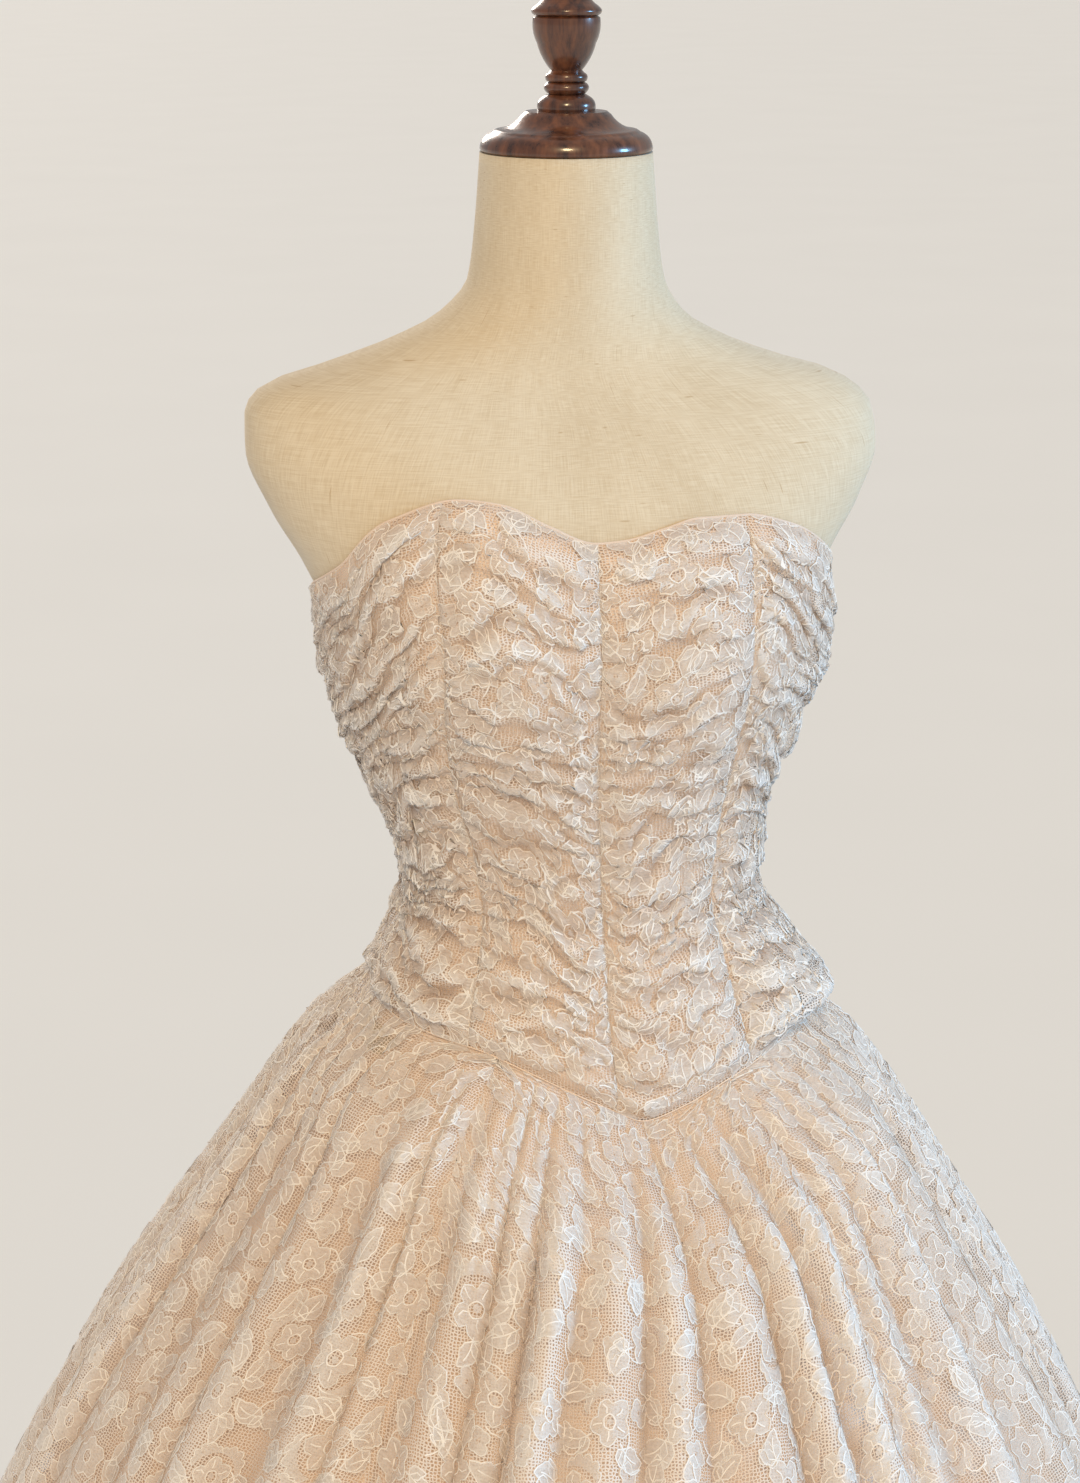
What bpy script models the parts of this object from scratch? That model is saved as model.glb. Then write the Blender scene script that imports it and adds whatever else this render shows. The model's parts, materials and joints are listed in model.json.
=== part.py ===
"""A ball gown of ruched lace over satin, standing on a limbless dress form.

Metres, +Z up. The origin is under the middle of the form's base, and the form faces -Y, so the
wearer's left is at +X. Angles around the body are degrees from the centre front, positive towards
the wearer's left, so the centre back is at 180.
"""
import math
from bisect import bisect_right
from typing import NamedTuple

import bmesh
import bpy
from mathutils import Vector

MM = 0.001

# Driving sizes of the form and its stand
BASE_BOSS_TOP = 0.060
POLE_RADIUS = 0.016
SOCKET_RADIUS = 0.055
SOCKET_THICKNESS = 0.014
TORSO_BOTTOM = 0.800
NECK_TOP = 1.524
TORSO_EDGE_ROUNDING = 0.014

# Driving sizes of the cloth
SATIN_WALL = 1.0 * MM
LACE_WALL = 1.0 * MM
FIT_GAP = 0.3 * MM  # between neighbours that touch on the real gown
SEAM_GAP = 0.3 * MM
SKIRT_SEAM_GAP = 0.6 * MM
BASQUE_GAP = 1.2 * MM  # from the bodice down to the skirt, which has fewer facets there
BODY_EASE = 2.6 * MM  # between the form and the satin below the neckline
NECKLINE_EASE = 1.3 * MM
LAYER_GAP = 0.5 * MM  # between the satin and the lace at a seam
POINT_TURN = 3.5  # degrees that the basque's point hangs round towards the wearer's left
POINT_TURN_BELOW = 1.000
BUST_TURN = 5.5  # degrees that the front seams come in over the bust
BUST_HEIGHT = 1.235

# Driving sizes of the ruched lace bodice
PANEL_PUFF = 3.0 * MM
FOLD_DEPTH = 2.2 * MM

# Driving sizes of the two skirts
LACE_HEM_HEIGHT = 0.014
LACE_FLARE_DROP = 0.040  # the drop below the seam within which the lace is at its full size
LACE_FOLD_DEPTH = 6.0 * MM
LACE_HEM_FOLD_DEPTH = 22.0 * MM
SATIN_HEM_HEIGHT = 0.030
SATIN_FLARE_DROP = 0.090
SATIN_FOLD_DEPTH = 3.0 * MM
SATIN_HEM_FOLD_DEPTH = 8.0 * MM
SATIN_FOLDS = 2.0
SATIN_INSET = 20.0 * MM
SKIRT_TOP_RADIUS = 0.140
SKIRT_HEM_RADIUS = 0.560
POINT_EASE = 0.050  # how much longer the flare's drop is under the basque's point
LEAN_DROP = 0.300  # the skirt's seams hang straight once this far below the basque

# Centre back zip
ZIP_HALF_WIDTH = 4.6 * MM
ZIP_THICKNESS = 1.4 * MM
ZIP_OPENING = 5.6 * MM  # from the centre back to the lace's folded edge
SLIDER_HEIGHT = 1.219
SLIDER_SIZE = Vector((9.0, 2.2, 11.0)) * MM
BRIDGE_SIZE = Vector((2.0, 3.8, 6.8)) * MM
BRIDGE_HOLE = Vector((4.0, 2.6, 4.2)) * MM
TAB_SIZE = Vector((5.8, 1.2, 24.0)) * MM
TAB_HOLE = Vector((3.0, 4.0, 5.0)) * MM
TAB_CROSSBAR = 1.4 * MM

# How finely the faceted solids are divided
AROUND_TORSO = 48
TORSO_ROWS = 44
BODICE_COLUMNS = 6
BODICE_ROWS = 12
LACE_SKIRT_COLUMNS = 16
LACE_SKIRT_ROWS = 8
SATIN_SKIRT_COLUMNS = 8
SATIN_SKIRT_ROWS = 5
TURNED_STEPS = 28


class Section(NamedTuple):
    """A level cut through the body: an oval, squarer than an ellipse where power is above 2."""

    height: float
    half_width: float
    front: float
    back: float
    power: float
    sway: float  # how far the cut's middle stands towards the wearer's left


TORSO = [
    Section(0.800, 0.155, 0.106, 0.114, 2.3, 0.003),
    Section(0.860, 0.161, 0.113, 0.127, 2.3, 0.004),
    Section(0.920, 0.155, 0.112, 0.124, 2.3, 0.006),
    Section(0.980, 0.135, 0.104, 0.111, 2.3, 0.010),
    Section(1.020, 0.1190, 0.095, 0.095, 2.3, 0.010),
    Section(1.060, 0.1055, 0.088, 0.082, 2.3, 0.008),
    Section(1.100, 0.1105, 0.092, 0.084, 2.3, 0.006),
    Section(1.150, 0.1285, 0.102, 0.095, 2.3, 0.002),
    Section(1.200, 0.1460, 0.109, 0.103, 2.3, 0.001),
    Section(1.240, 0.1530, 0.112, 0.107, 2.3, 0.001),
    Section(1.275, 0.167, 0.111, 0.110, 2.3, 0.0),
    Section(1.310, 0.187, 0.104, 0.111, 2.3, 0.0),
    Section(1.345, 0.1995, 0.090, 0.103, 2.3, -0.001),
    Section(1.368, 0.1975, 0.076, 0.090, 2.2, -0.003),
    Section(1.384, 0.183, 0.064, 0.079, 2.1, -0.007),
    Section(1.397, 0.143, 0.057, 0.070, 2.0, -0.008),
    Section(1.410, 0.107, 0.054, 0.064, 2.0, -0.006),
    Section(1.426, 0.077, 0.0535, 0.060, 2.0, -0.003),
    Section(1.448, 0.061, 0.0540, 0.057, 2.0, 0.0),
    Section(1.480, 0.0565, 0.0545, 0.0555, 2.0, 0.0),
    Section(1.524, 0.0530, 0.0530, 0.0530, 2.0, 0.0),
]

SKIRT = [
    Section(0.014, 0.580, 0.566, 0.582, 2.0, 0.0),
    Section(0.200, 0.532, 0.518, 0.534, 2.0, 0.0),
    Section(0.350, 0.486, 0.472, 0.488, 2.0, 0.0),
    Section(0.500, 0.434, 0.419, 0.436, 2.0, 0.0),
    Section(0.650, 0.371, 0.355, 0.373, 2.0, 0.0),
    Section(0.740, 0.322, 0.305, 0.323, 2.0, 0.002),
    Section(0.820, 0.269, 0.251, 0.269, 2.05, 0.006),
    Section(0.890, 0.222, 0.205, 0.221, 2.1, 0.009),
    Section(0.940, 0.186, 0.171, 0.183, 2.15, 0.008),
    Section(0.975, 0.156, 0.145, 0.153, 2.2, 0.005),
    Section(1.010, 0.143, 0.120, 0.130, 2.3, 0.010),
]


class Edge(NamedTuple):
    """The bodice's upper and lower edges, by degrees from the centre front."""

    around: float
    neckline: float
    basque: float


EDGES = [
    Edge(-180.0, 1.234, 0.984),
    Edge(-140.0, 1.238, 0.984),
    Edge(-105.0, 1.248, 0.986),
    Edge(-80.0, 1.268, 0.985),
    Edge(-67.0, 1.286, 0.983),
    Edge(-56.0, 1.315, 0.981),
    Edge(-42.0, 1.328, 0.976),
    Edge(-30.0, 1.325, 0.966),
    Edge(-16.0, 1.313, 0.952),
    Edge(0.0, 1.302, 0.937),
    Edge(9.0, 1.303, 0.930),
    Edge(22.0, 1.309, 0.937),
    Edge(33.0, 1.314, 0.946),
    Edge(45.0, 1.314, 0.954),
    Edge(56.0, 1.306, 0.960),
    Edge(67.0, 1.289, 0.964),
    Edge(80.0, 1.268, 0.970),
    Edge(105.0, 1.248, 0.980),
    Edge(140.0, 1.238, 0.984),
    Edge(180.0, 1.234, 0.984),
]


class Mound(NamedTuple):
    """A soft rise on a surface, falling away like a bell in degrees and in height."""

    around: float
    height: float
    rise: float
    spread_around: float
    spread_height: float


BUST = [
    Mound(-33.0, 1.232, 0.017, 18.0, 0.042),
    Mound(33.0, 1.232, 0.017, 18.0, 0.042),
]

PUFFS = [
    Mound(80.0, 1.246, 0.007, 13.0, 0.012),
    Mound(76.0, 1.214, 0.009, 13.0, 0.012),
    Mound(78.0, 1.165, 0.003, 14.0, 0.016),
    Mound(80.0, 1.090, 0.005, 14.0, 0.016),
    Mound(78.0, 1.030, 0.004, 14.0, 0.014),
    Mound(72.0, 0.984, 0.031, 17.0, 0.018),
    Mound(-100.0, 1.170, 0.005, 14.0, 0.014),
    Mound(-102.0, 1.124, 0.007, 13.0, 0.010),
]


class Panel(NamedTuple):
    """A stretch of cloth between two seams, in degrees, with the folds that it holds."""

    name: str
    start: float
    end: float
    folds: float
    shift: float  # unevenness of the folds, in radians of a fold


BODICE_PANELS = [
    Panel("front_left", 0.0, 45.0, 5.2, 0.4),
    Panel("side_front_left", 45.0, 90.0, 4.8, 2.1),
    Panel("side_back_left", 90.0, 135.0, 5.4, 3.9),
    Panel("back_left", 135.0, 180.0, 4.9, 5.2),
    Panel("back_right", -180.0, -135.0, 5.1, 1.3),
    Panel("side_back_right", -135.0, -90.0, 5.3, 2.8),
    Panel("side_front_right", -90.0, -45.0, 4.7, 4.6),
    Panel("front_right", -45.0, 0.0, 5.0, 5.8),
]

SKIRT_PANELS = [
    Panel("front", -36.0, 36.0, 4.0, 0.7),
    Panel("side_left", 36.0, 108.0, 4.0, -0.8),
    Panel("back_left", 108.0, 180.0, 4.0, 0.6),
    Panel("back_right", -180.0, -108.0, 4.0, -0.6),
    Panel("side_right", -108.0, -36.0, 4.0, 0.9),
]


class Turn(NamedTuple):
    """A ring of a turned piece, and how far the way down to the next ring bulges outwards."""

    height: float
    radius: float
    bulge: float


NECK_CAP = [
    Turn(34.0, 0.0, 0.0),
    Turn(34.0, 12.0, 0.0),
    Turn(32.6, 14.4, 0.18),
    Turn(24.4, 17.6, 0.0),
    Turn(24.0, 25.0, 0.0),
    Turn(22.0, 27.5, -0.12),
    Turn(13.0, 43.5, 0.0),
    Turn(11.6, 45.5, 0.16),
    Turn(2.0, 53.0, 0.12),
    Turn(0.0, 51.5, 0.0),
    Turn(0.0, 0.0, 0.0),
]

FINIAL = [
    Turn(96.0, 0.0, 0.10),
    Turn(93.0, 5.5, 0.16),
    Turn(84.0, 10.0, 0.20),
    Turn(72.0, 7.0, -0.14),
    Turn(62.0, 11.0, -0.08),
    Turn(52.0, 19.0, 0.0),
    Turn(50.5, 20.6, 0.22),
    Turn(47.0, 20.6, 0.0),
    Turn(46.0, 18.8, 0.0),
    Turn(45.0, 20.4, 0.08),
    Turn(30.0, 18.0, 0.06),
    Turn(14.0, 9.6, 0.0),
    Turn(12.6, 10.8, 0.25),
    Turn(7.8, 12.4, 0.0),
    Turn(7.0, 11.0, 0.0),
    Turn(6.2, 12.4, 0.25),
    Turn(1.2, 12.6, 0.0),
    Turn(0.0, 11.4, 0.0),
    Turn(0.0, 0.0, 0.0),
]

STAND_BASE = [
    Turn(60.0, 0.0, 0.0),
    Turn(60.0, 24.0, 0.0),
    Turn(58.0, 26.0, -0.20),
    Turn(28.0, 60.0, -0.04),
    Turn(22.0, 150.0, 0.05),
    Turn(16.0, 174.0, 0.20),
    Turn(4.0, 180.0, 0.10),
    Turn(0.0, 177.0, 0.0),
    Turn(0.0, 0.0, 0.0),
]


def follow(rows, column, at):
    """Read a table's column at a value of its first column, on a smooth curve with no overshoot."""
    xs = [row[0] for row in rows]
    ys = [getattr(row, column) for row in rows]
    at = min(max(at, xs[0]), xs[-1])
    low = min(bisect_right(xs, at), len(xs) - 1) - 1

    def secant(i):
        return (ys[i + 1] - ys[i]) / (xs[i + 1] - xs[i])

    def slope(i):
        if i == 0:
            return secant(0)
        if i == len(xs) - 1:
            return secant(i - 1)
        before, after = secant(i - 1), secant(i)
        if before * after <= 0.0:
            return 0.0
        return 2.0 * before * after / (before + after)

    span = xs[low + 1] - xs[low]
    t = (at - xs[low]) / span
    start, end = ys[low], ys[low + 1]
    return (
        start * (1.0 + 2.0 * t) * (1.0 - t) ** 2
        + end * t * t * (3.0 - 2.0 * t)
        + span * slope(low) * t * (1.0 - t) ** 2
        - span * slope(low + 1) * t * t * (1.0 - t)
    )


def eased(t):
    """Go from 0 to 1 with a level start and end."""
    t = min(max(t, 0.0), 1.0)
    return t * t * (3.0 - 2.0 * t)


def apart(one, other):
    """The shorter way round between two places, in degrees."""
    return abs((one - other + 180.0) % 360.0 - 180.0)


def mound_rise(mound, around, height):
    sideways = apart(around, mound.around) / mound.spread_around
    upwards = (height - mound.height) / mound.spread_height
    return mound.rise * math.exp(-0.5 * (sideways**2 + upwards**2))


def oval_radius(table, around, height):
    """Distance from a section's middle to its edge."""
    angle = math.radians(around)
    power = follow(table, "power", height)
    depth = follow(table, "front" if math.cos(angle) > 0.0 else "back", height)
    side = abs(math.sin(angle)) / follow(table, "half_width", height)
    ahead = abs(math.cos(angle)) / depth
    return (side**power + ahead**power) ** (-1.0 / power)


def torso_radius(around, height):
    radius = oval_radius(TORSO, around, height)
    return radius + sum(mound_rise(mound, around, height) for mound in BUST)


def polar_point(table, around, height, radius):
    angle = math.radians(around)
    middle = follow(table, "sway", height)
    return Vector((middle + radius * math.sin(angle), -radius * math.cos(angle), height))


def torso_point(around, height):
    return polar_point(TORSO, around, height, torso_radius(around, height))


def wrapped(around):
    """The same place round the body, from -180 to 180 degrees."""
    return (around + 180.0) % 360.0 - 180.0


def basque_height(around):
    return follow(EDGES, "basque", wrapped(around))


def neckline_height(around):
    return follow(EDGES, "neckline", wrapped(around))


def seam_lean(around, height):
    """Degrees that a seam strays: in over the bust, and to the wearer's left at the basque's point."""
    low_down = eased((POINT_TURN_BELOW - height) / 0.065)
    in_front = 0.5 + 0.5 * math.cos(math.radians(around))
    over_bust = math.exp(-0.5 * ((height - BUST_HEIGHT) / 0.040) ** 2)
    side = math.sin(math.radians(2.0 * around)) if apart(around, 0.0) < 90.0 else 0.0
    return POINT_TURN * low_down * in_front - BUST_TURN * over_bust * side * abs(side)


def bodice_base(around, rise):
    """The form's surface under the bodice, with rise 0 on the basque seam and 1 on the neckline."""
    low = basque_height(around)
    height = low + (neckline_height(around) - low) * rise
    return torso_point(around + seam_lean(around, height), height)


def bodice_point(around, rise, lift):
    """A point of the bodice, moved out from the form by lift."""
    step_around = 0.5
    step_rise = 0.01
    along = bodice_base(around + step_around, rise) - bodice_base(around - step_around, rise)
    low, high = max(rise - step_rise, 0.0), min(rise + step_rise, 1.0)
    upward = bodice_base(around, high) - bodice_base(around, low)
    return bodice_base(around, rise) + along.cross(upward).normalized() * lift


def satin_lift(rise):
    """The satin fits close at the neckline and with a little ease below it."""
    return NECKLINE_EASE + (BODY_EASE - NECKLINE_EASE) * eased((1.0 - rise) / 0.15)


def ruching_lift(panel, across, rise, around, height):
    """How far the gathered lace stands off the satin: nothing at the seams, most between them."""
    swell = math.sin(math.pi * across) ** 0.7
    wander = 0.5 * math.sin(2.0 * math.pi * across + panel.shift)
    fold = 0.5 - 0.5 * math.cos(2.0 * math.pi * panel.folds * rise + panel.shift + wander)
    extra = sum(mound_rise(mound, around, height) for mound in PUFFS)
    edges = eased(rise / 0.06) * eased((1.0 - rise) / 0.05)
    return swell * (edges * (PANEL_PUFF + FOLD_DEPTH * fold) + extra * eased(rise / 0.06))


def panel_around(panel, across, start_gap, end_gap, radius):
    """Degrees round the body at a share of the panel's width, leaving the gaps at its seams."""
    start = panel.start + math.degrees(start_gap / radius)
    end = panel.end - math.degrees(end_gap / radius)
    return start + (end - start) * across


def collection(name):
    made = bpy.data.collections.new(name)
    bpy.context.scene.collection.children.link(made)
    return made


def add_object(name, mesh, home):
    made = bpy.data.objects.new(name, mesh)
    home.objects.link(made)
    return made


def finish(piece, colour, roughness, metallic=0.0):
    """Give a piece its own material."""
    material = bpy.data.materials.new(piece.name + "_finish")
    material.use_nodes = True
    shader = material.node_tree.nodes["Principled BSDF"]
    shader.inputs["Base Color"].default_value = (*colour, 1.0)
    shader.inputs["Roughness"].default_value = roughness
    shader.inputs["Metallic"].default_value = metallic
    material.diffuse_color = (*colour, 1.0)
    piece.data.materials.append(material)


def lace(piece):
    finish(piece, (0.86, 0.70, 0.60), 0.75)


def satin(piece):
    finish(piece, (0.90, 0.62, 0.45), 0.38)


def linen(piece):
    finish(piece, (0.86, 0.79, 0.64), 0.85)


def walnut(piece):
    finish(piece, (0.16, 0.05, 0.02), 0.22)


def steel(piece):
    finish(piece, (0.06, 0.06, 0.065), 0.35, metallic=0.8)


def nickel(piece):
    finish(piece, (0.75, 0.73, 0.70), 0.3, metallic=1.0)


def mapped_grid(name, columns, rows, place, home):
    """An open sheet, each corner set by place(across, along), both from 0 to 1.

    Each square is halved along its shorter diagonal, which lies closest to a rounded surface.
    """
    shape = bmesh.new()
    bmesh.ops.create_grid(shape, x_segments=columns, y_segments=rows, size=1.0)
    for corner in shape.verts:
        corner.co = place(0.5 + 0.5 * corner.co.x, 0.5 + 0.5 * corner.co.y)
    bmesh.ops.triangulate(shape, faces=shape.faces, quad_method="SHORT_EDGE")
    mesh = bpy.data.meshes.new(name)
    shape.to_mesh(mesh)
    shape.free()
    mesh.shade_smooth()
    return add_object(name, mesh, home)


def thicken(piece, wall, outwards):
    solid = piece.modifiers.new("wall", "SOLIDIFY")
    solid.thickness = wall
    solid.offset = 1.0 if outwards else -1.0
    solid.use_rim = True


def closed_tube(name, columns, rows, place, home):
    """A grid rolled into a tube, welded along its meeting edges and closed flat at both ends."""
    piece = mapped_grid(name, columns, rows, place, home)
    shape = bmesh.new()
    shape.from_mesh(piece.data)
    bmesh.ops.remove_doubles(shape, verts=shape.verts, dist=0.01 * MM)
    open_edges = [edge for edge in shape.edges if edge.is_boundary]
    caps = bmesh.ops.holes_fill(shape, edges=open_edges, sides=0)
    for face in caps["faces"]:
        face.smooth = False
    bmesh.ops.recalc_face_normals(shape, faces=shape.faces)
    shape.to_mesh(piece.data)
    shape.free()
    return piece


def turned(name, rows, foot, home):
    """A piece turned on a lathe: its rings joined by straight or bulging stretches, in mm."""
    points = []
    for row, below in zip(rows, rows[1:]):
        here = Vector((row.radius, 0.0, row.height)) * MM
        there = Vector((below.radius, 0.0, below.height)) * MM
        way = there - here
        outwards = Vector((-way.z, 0.0, way.x))
        pieces = 4 if row.bulge else 1
        for i in range(pieces):
            t = i / pieces
            points.append(here + way * t + outwards * (4.0 * row.bulge * t * (1.0 - t)))
    points.append(Vector((rows[-1].radius, 0.0, rows[-1].height)) * MM)
    mesh = bpy.data.meshes.new(name)
    mesh.from_pydata(points, [(i, i + 1) for i in range(len(points) - 1)], [])
    piece = add_object(name, mesh, home)
    piece.location.z = foot
    spin = piece.modifiers.new("lathe", "SCREW")
    spin.steps = TURNED_STEPS
    spin.render_steps = TURNED_STEPS
    spin.use_merge_vertices = True
    spin.merge_threshold = 0.01 * MM
    spin.use_smooth_shade = True
    return piece


def make_torso(home):
    """The linen-covered body: smooth, whole, with no limbs and no head."""

    def place(across, along):
        height = TORSO_BOTTOM + (NECK_TOP - TORSO_BOTTOM) * along
        around = 360.0 * across - 180.0
        above_edge = min((height - TORSO_BOTTOM) / TORSO_EDGE_ROUNDING, 1.0)
        rounding = TORSO_EDGE_ROUNDING * (1.0 - math.sqrt(1.0 - (1.0 - above_edge) ** 2))
        return polar_point(TORSO, around, height, torso_radius(around, height) - rounding)

    linen(closed_tube("form_torso", AROUND_TORSO, TORSO_ROWS, place, home))


def make_stand(home):
    """The weighted base, pole and socket, which the gown hides, and the turned wood on the neck."""
    base = turned("form_base", STAND_BASE, 0.0, home)
    steel(base)
    socket_bottom = TORSO_BOTTOM - FIT_GAP - SOCKET_THICKNESS
    pole_bottom = BASE_BOSS_TOP + FIT_GAP
    pole_length = socket_bottom - FIT_GAP - pole_bottom
    for name, radius, bottom, length in (
        ("form_pole", POLE_RADIUS, pole_bottom, pole_length),
        ("form_socket", SOCKET_RADIUS, socket_bottom, SOCKET_THICKNESS),
    ):
        shape = bmesh.new()
        bmesh.ops.create_cone(
            shape, cap_ends=True, segments=TURNED_STEPS, radius1=radius, radius2=radius, depth=length
        )
        mesh = bpy.data.meshes.new(name)
        shape.to_mesh(mesh)
        shape.free()
        mesh.shade_smooth()
        mesh.set_sharp_from_angle(angle=math.radians(40.0))
        piece = add_object(name, mesh, home)
        piece.location.z = bottom + 0.5 * length
        steel(piece)
    cap_bottom = NECK_TOP + FIT_GAP
    walnut(turned("form_neck_cap", NECK_CAP, cap_bottom, home))
    walnut(turned("form_finial", FINIAL, cap_bottom + NECK_CAP[0].height * MM + FIT_GAP, home))


def make_satin_bodice(home):
    """The fitted foundation: eight satin panels, each a wall on the form's own curve."""
    for panel in BODICE_PANELS:

        def place(across, along, panel=panel):
            half_gap = 0.5 * SEAM_GAP
            radius = torso_radius(panel.start, basque_height(panel.start))
            around = panel_around(panel, across, half_gap, half_gap, radius)
            rise = bodice_rise(along)
            return bodice_point(around, rise, satin_lift(rise))

        name = "bodice_satin_" + panel.name
        piece = mapped_grid(name, BODICE_COLUMNS, BODICE_ROWS, place, home)
        thicken(piece, SATIN_WALL, outwards=True)
        satin(piece)


def bodice_rise(along):
    """Rows of the bodice lie closer together near the neckline, where the form curves most."""
    return along**0.85


def lace_seam_lift(rise):
    """Where the lace's outer face lies at a seam, above the form."""
    return satin_lift(rise) + SATIN_WALL + LAYER_GAP + LACE_WALL


def make_lace_bodice(home):
    """Eight lace panels, ruched between their seams, and cut back at the zip."""
    for panel in BODICE_PANELS:

        def place(across, along, panel=panel):
            start_gap = ZIP_OPENING if panel.start == -180.0 else 0.5 * SEAM_GAP
            end_gap = ZIP_OPENING if panel.end == 180.0 else 0.5 * SEAM_GAP
            seam = panel.start if panel.start == -180.0 else panel.end
            rise = bodice_rise(along)
            low, high = basque_height(seam), neckline_height(seam)
            radius = torso_radius(seam, low + (high - low) * rise)
            around = panel_around(panel, across, start_gap, end_gap, radius)
            height = bodice_base(around, rise).z
            lift = lace_seam_lift(rise) + ruching_lift(panel, across, rise, around, height)
            return bodice_point(around, rise, lift)

        name = "bodice_lace_" + panel.name
        piece = mapped_grid(name, BODICE_COLUMNS, BODICE_ROWS, place, home)
        thicken(piece, LACE_WALL, outwards=False)
        lace(piece)


def skirt_point(around, along, top_lift, hem, inset, flare, fold):
    """A point of a skirt whose top edge hangs just under the bodice layer at top_lift.

    along runs from the floor hem at 0 to the basque seam at 1. The skirt leaves the seam as
    flare says, and lies inset within the skirt's table. fold is how far a fold stands out there.
    """
    top = bodice_point(around, 0.0, top_lift)
    top.z -= BASQUE_GAP
    down = (1.0 - along) ** 1.7
    height = top.z + (hem - top.z) * down
    drop = top.z - height
    turned_round = around + seam_lean(around, top.z) * (1.0 - eased(drop / LEAN_DROP))
    top_middle = follow(TORSO, "sway", top.z)
    top_radius = math.hypot(top.x - top_middle, top.y)
    full_radius = oval_radius(SKIRT, turned_round, height) - inset * eased(drop / 0.12)
    let_out = flare(around, drop)
    radius = top_radius + (full_radius - top_radius) * let_out + fold * eased(drop / 0.10)
    middle = top_middle + (follow(SKIRT, "sway", height) - top_middle) * let_out
    angle = math.radians(turned_round)
    return Vector((middle + radius * math.sin(angle), -radius * math.cos(angle), height))


def skirt_around(panel, across, along):
    """Degrees round the skirt at a share of a width, leaving the gaps at its seams."""
    radius = SKIRT_HEM_RADIUS + (SKIRT_TOP_RADIUS - SKIRT_HEM_RADIUS) * along
    half_gap = 0.5 * SKIRT_SEAM_GAP
    return panel_around(panel, across, half_gap, half_gap, radius)


def fold_out(panel, across, folds, depth):
    """Uneven folds that sink into each seam."""
    wander = panel.shift * math.sin(2.0 * math.pi * across) * math.sin(math.pi * across)
    wave = 0.5 - 0.5 * math.cos(2.0 * math.pi * folds * across + wander * math.pi)
    uneven = 0.75 + 0.25 * math.cos(2.0 * math.pi * across * 1.5 + 4.0 * panel.shift)
    return depth * wave * uneven


def point_ease(around):
    """How much further the skirt drops before it is at full size, most under the basque's point."""
    return POINT_EASE * math.exp(-0.5 * (apart(around, 10.0) / 32.0) ** 2)


def make_lace_skirt(home):
    """Five gathered lace widths, flaring at once from the basque seam, and later at its point."""

    def flare(around, drop):
        full_drop = LACE_FLARE_DROP + point_ease(around)
        return 1.0 - (1.0 - min(drop / full_drop, 1.0)) ** 2

    top_lift = lace_seam_lift(0.0)
    for panel in SKIRT_PANELS:

        def place(across, along, panel=panel):
            around = skirt_around(panel, across, along)
            depth = LACE_HEM_FOLD_DEPTH + (LACE_FOLD_DEPTH - LACE_HEM_FOLD_DEPTH) * along
            fold = fold_out(panel, across, panel.folds, depth) - 0.4 * depth
            return skirt_point(around, along, top_lift, LACE_HEM_HEIGHT, 0.0, flare, fold)

        name = "skirt_lace_" + panel.name
        piece = mapped_grid(name, LACE_SKIRT_COLUMNS, LACE_SKIRT_ROWS, place, home)
        thicken(piece, LACE_WALL, outwards=False)
        lace(piece)


def make_satin_skirt(home):
    """Five satin widths under the lace, hanging a little inside it and with fewer folds."""

    def flare(around, drop):
        return eased(drop / (SATIN_FLARE_DROP + point_ease(around)))

    top_lift = satin_lift(0.0) + SATIN_WALL
    for panel in SKIRT_PANELS:

        def place(across, along, panel=panel):
            around = skirt_around(panel, across, along)
            depth = SATIN_HEM_FOLD_DEPTH + (SATIN_FOLD_DEPTH - SATIN_HEM_FOLD_DEPTH) * along
            fold = fold_out(panel, across, SATIN_FOLDS, depth) - 0.5 * depth
            return skirt_point(
                around, along, top_lift, SATIN_HEM_HEIGHT, SATIN_INSET, flare, fold
            )

        name = "skirt_satin_" + panel.name
        piece = mapped_grid(name, SATIN_SKIRT_COLUMNS, SATIN_SKIRT_ROWS, place, home)
        thicken(piece, SATIN_WALL, outwards=False)
        satin(piece)


def zip_point(sideways, rise, lift):
    """A point on the centre back, over the satin, sideways towards the wearer's right."""
    low, high = basque_height(180.0), neckline_height(180.0)
    radius = torso_radius(180.0, low + (high - low) * rise)
    around = 180.0 + math.degrees(sideways / radius)
    return bodice_point(around, rise, satin_lift(rise) + SATIN_WALL + LAYER_GAP + lift)


def block(name, size, home):
    """A box with its edges along the axes, centred on its origin."""
    shape = bmesh.new()
    bmesh.ops.create_cube(shape, size=1.0)
    bmesh.ops.scale(shape, vec=size, verts=shape.verts)
    mesh = bpy.data.meshes.new(name)
    shape.to_mesh(mesh)
    shape.free()
    return add_object(name, mesh, home)


def cut(piece, cutter, operation):
    change = piece.modifiers.new(cutter.name, "BOOLEAN")
    change.operation = operation
    change.object = cutter
    cutter.hide_render = True
    cutter.display_type = "WIRE"


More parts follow.
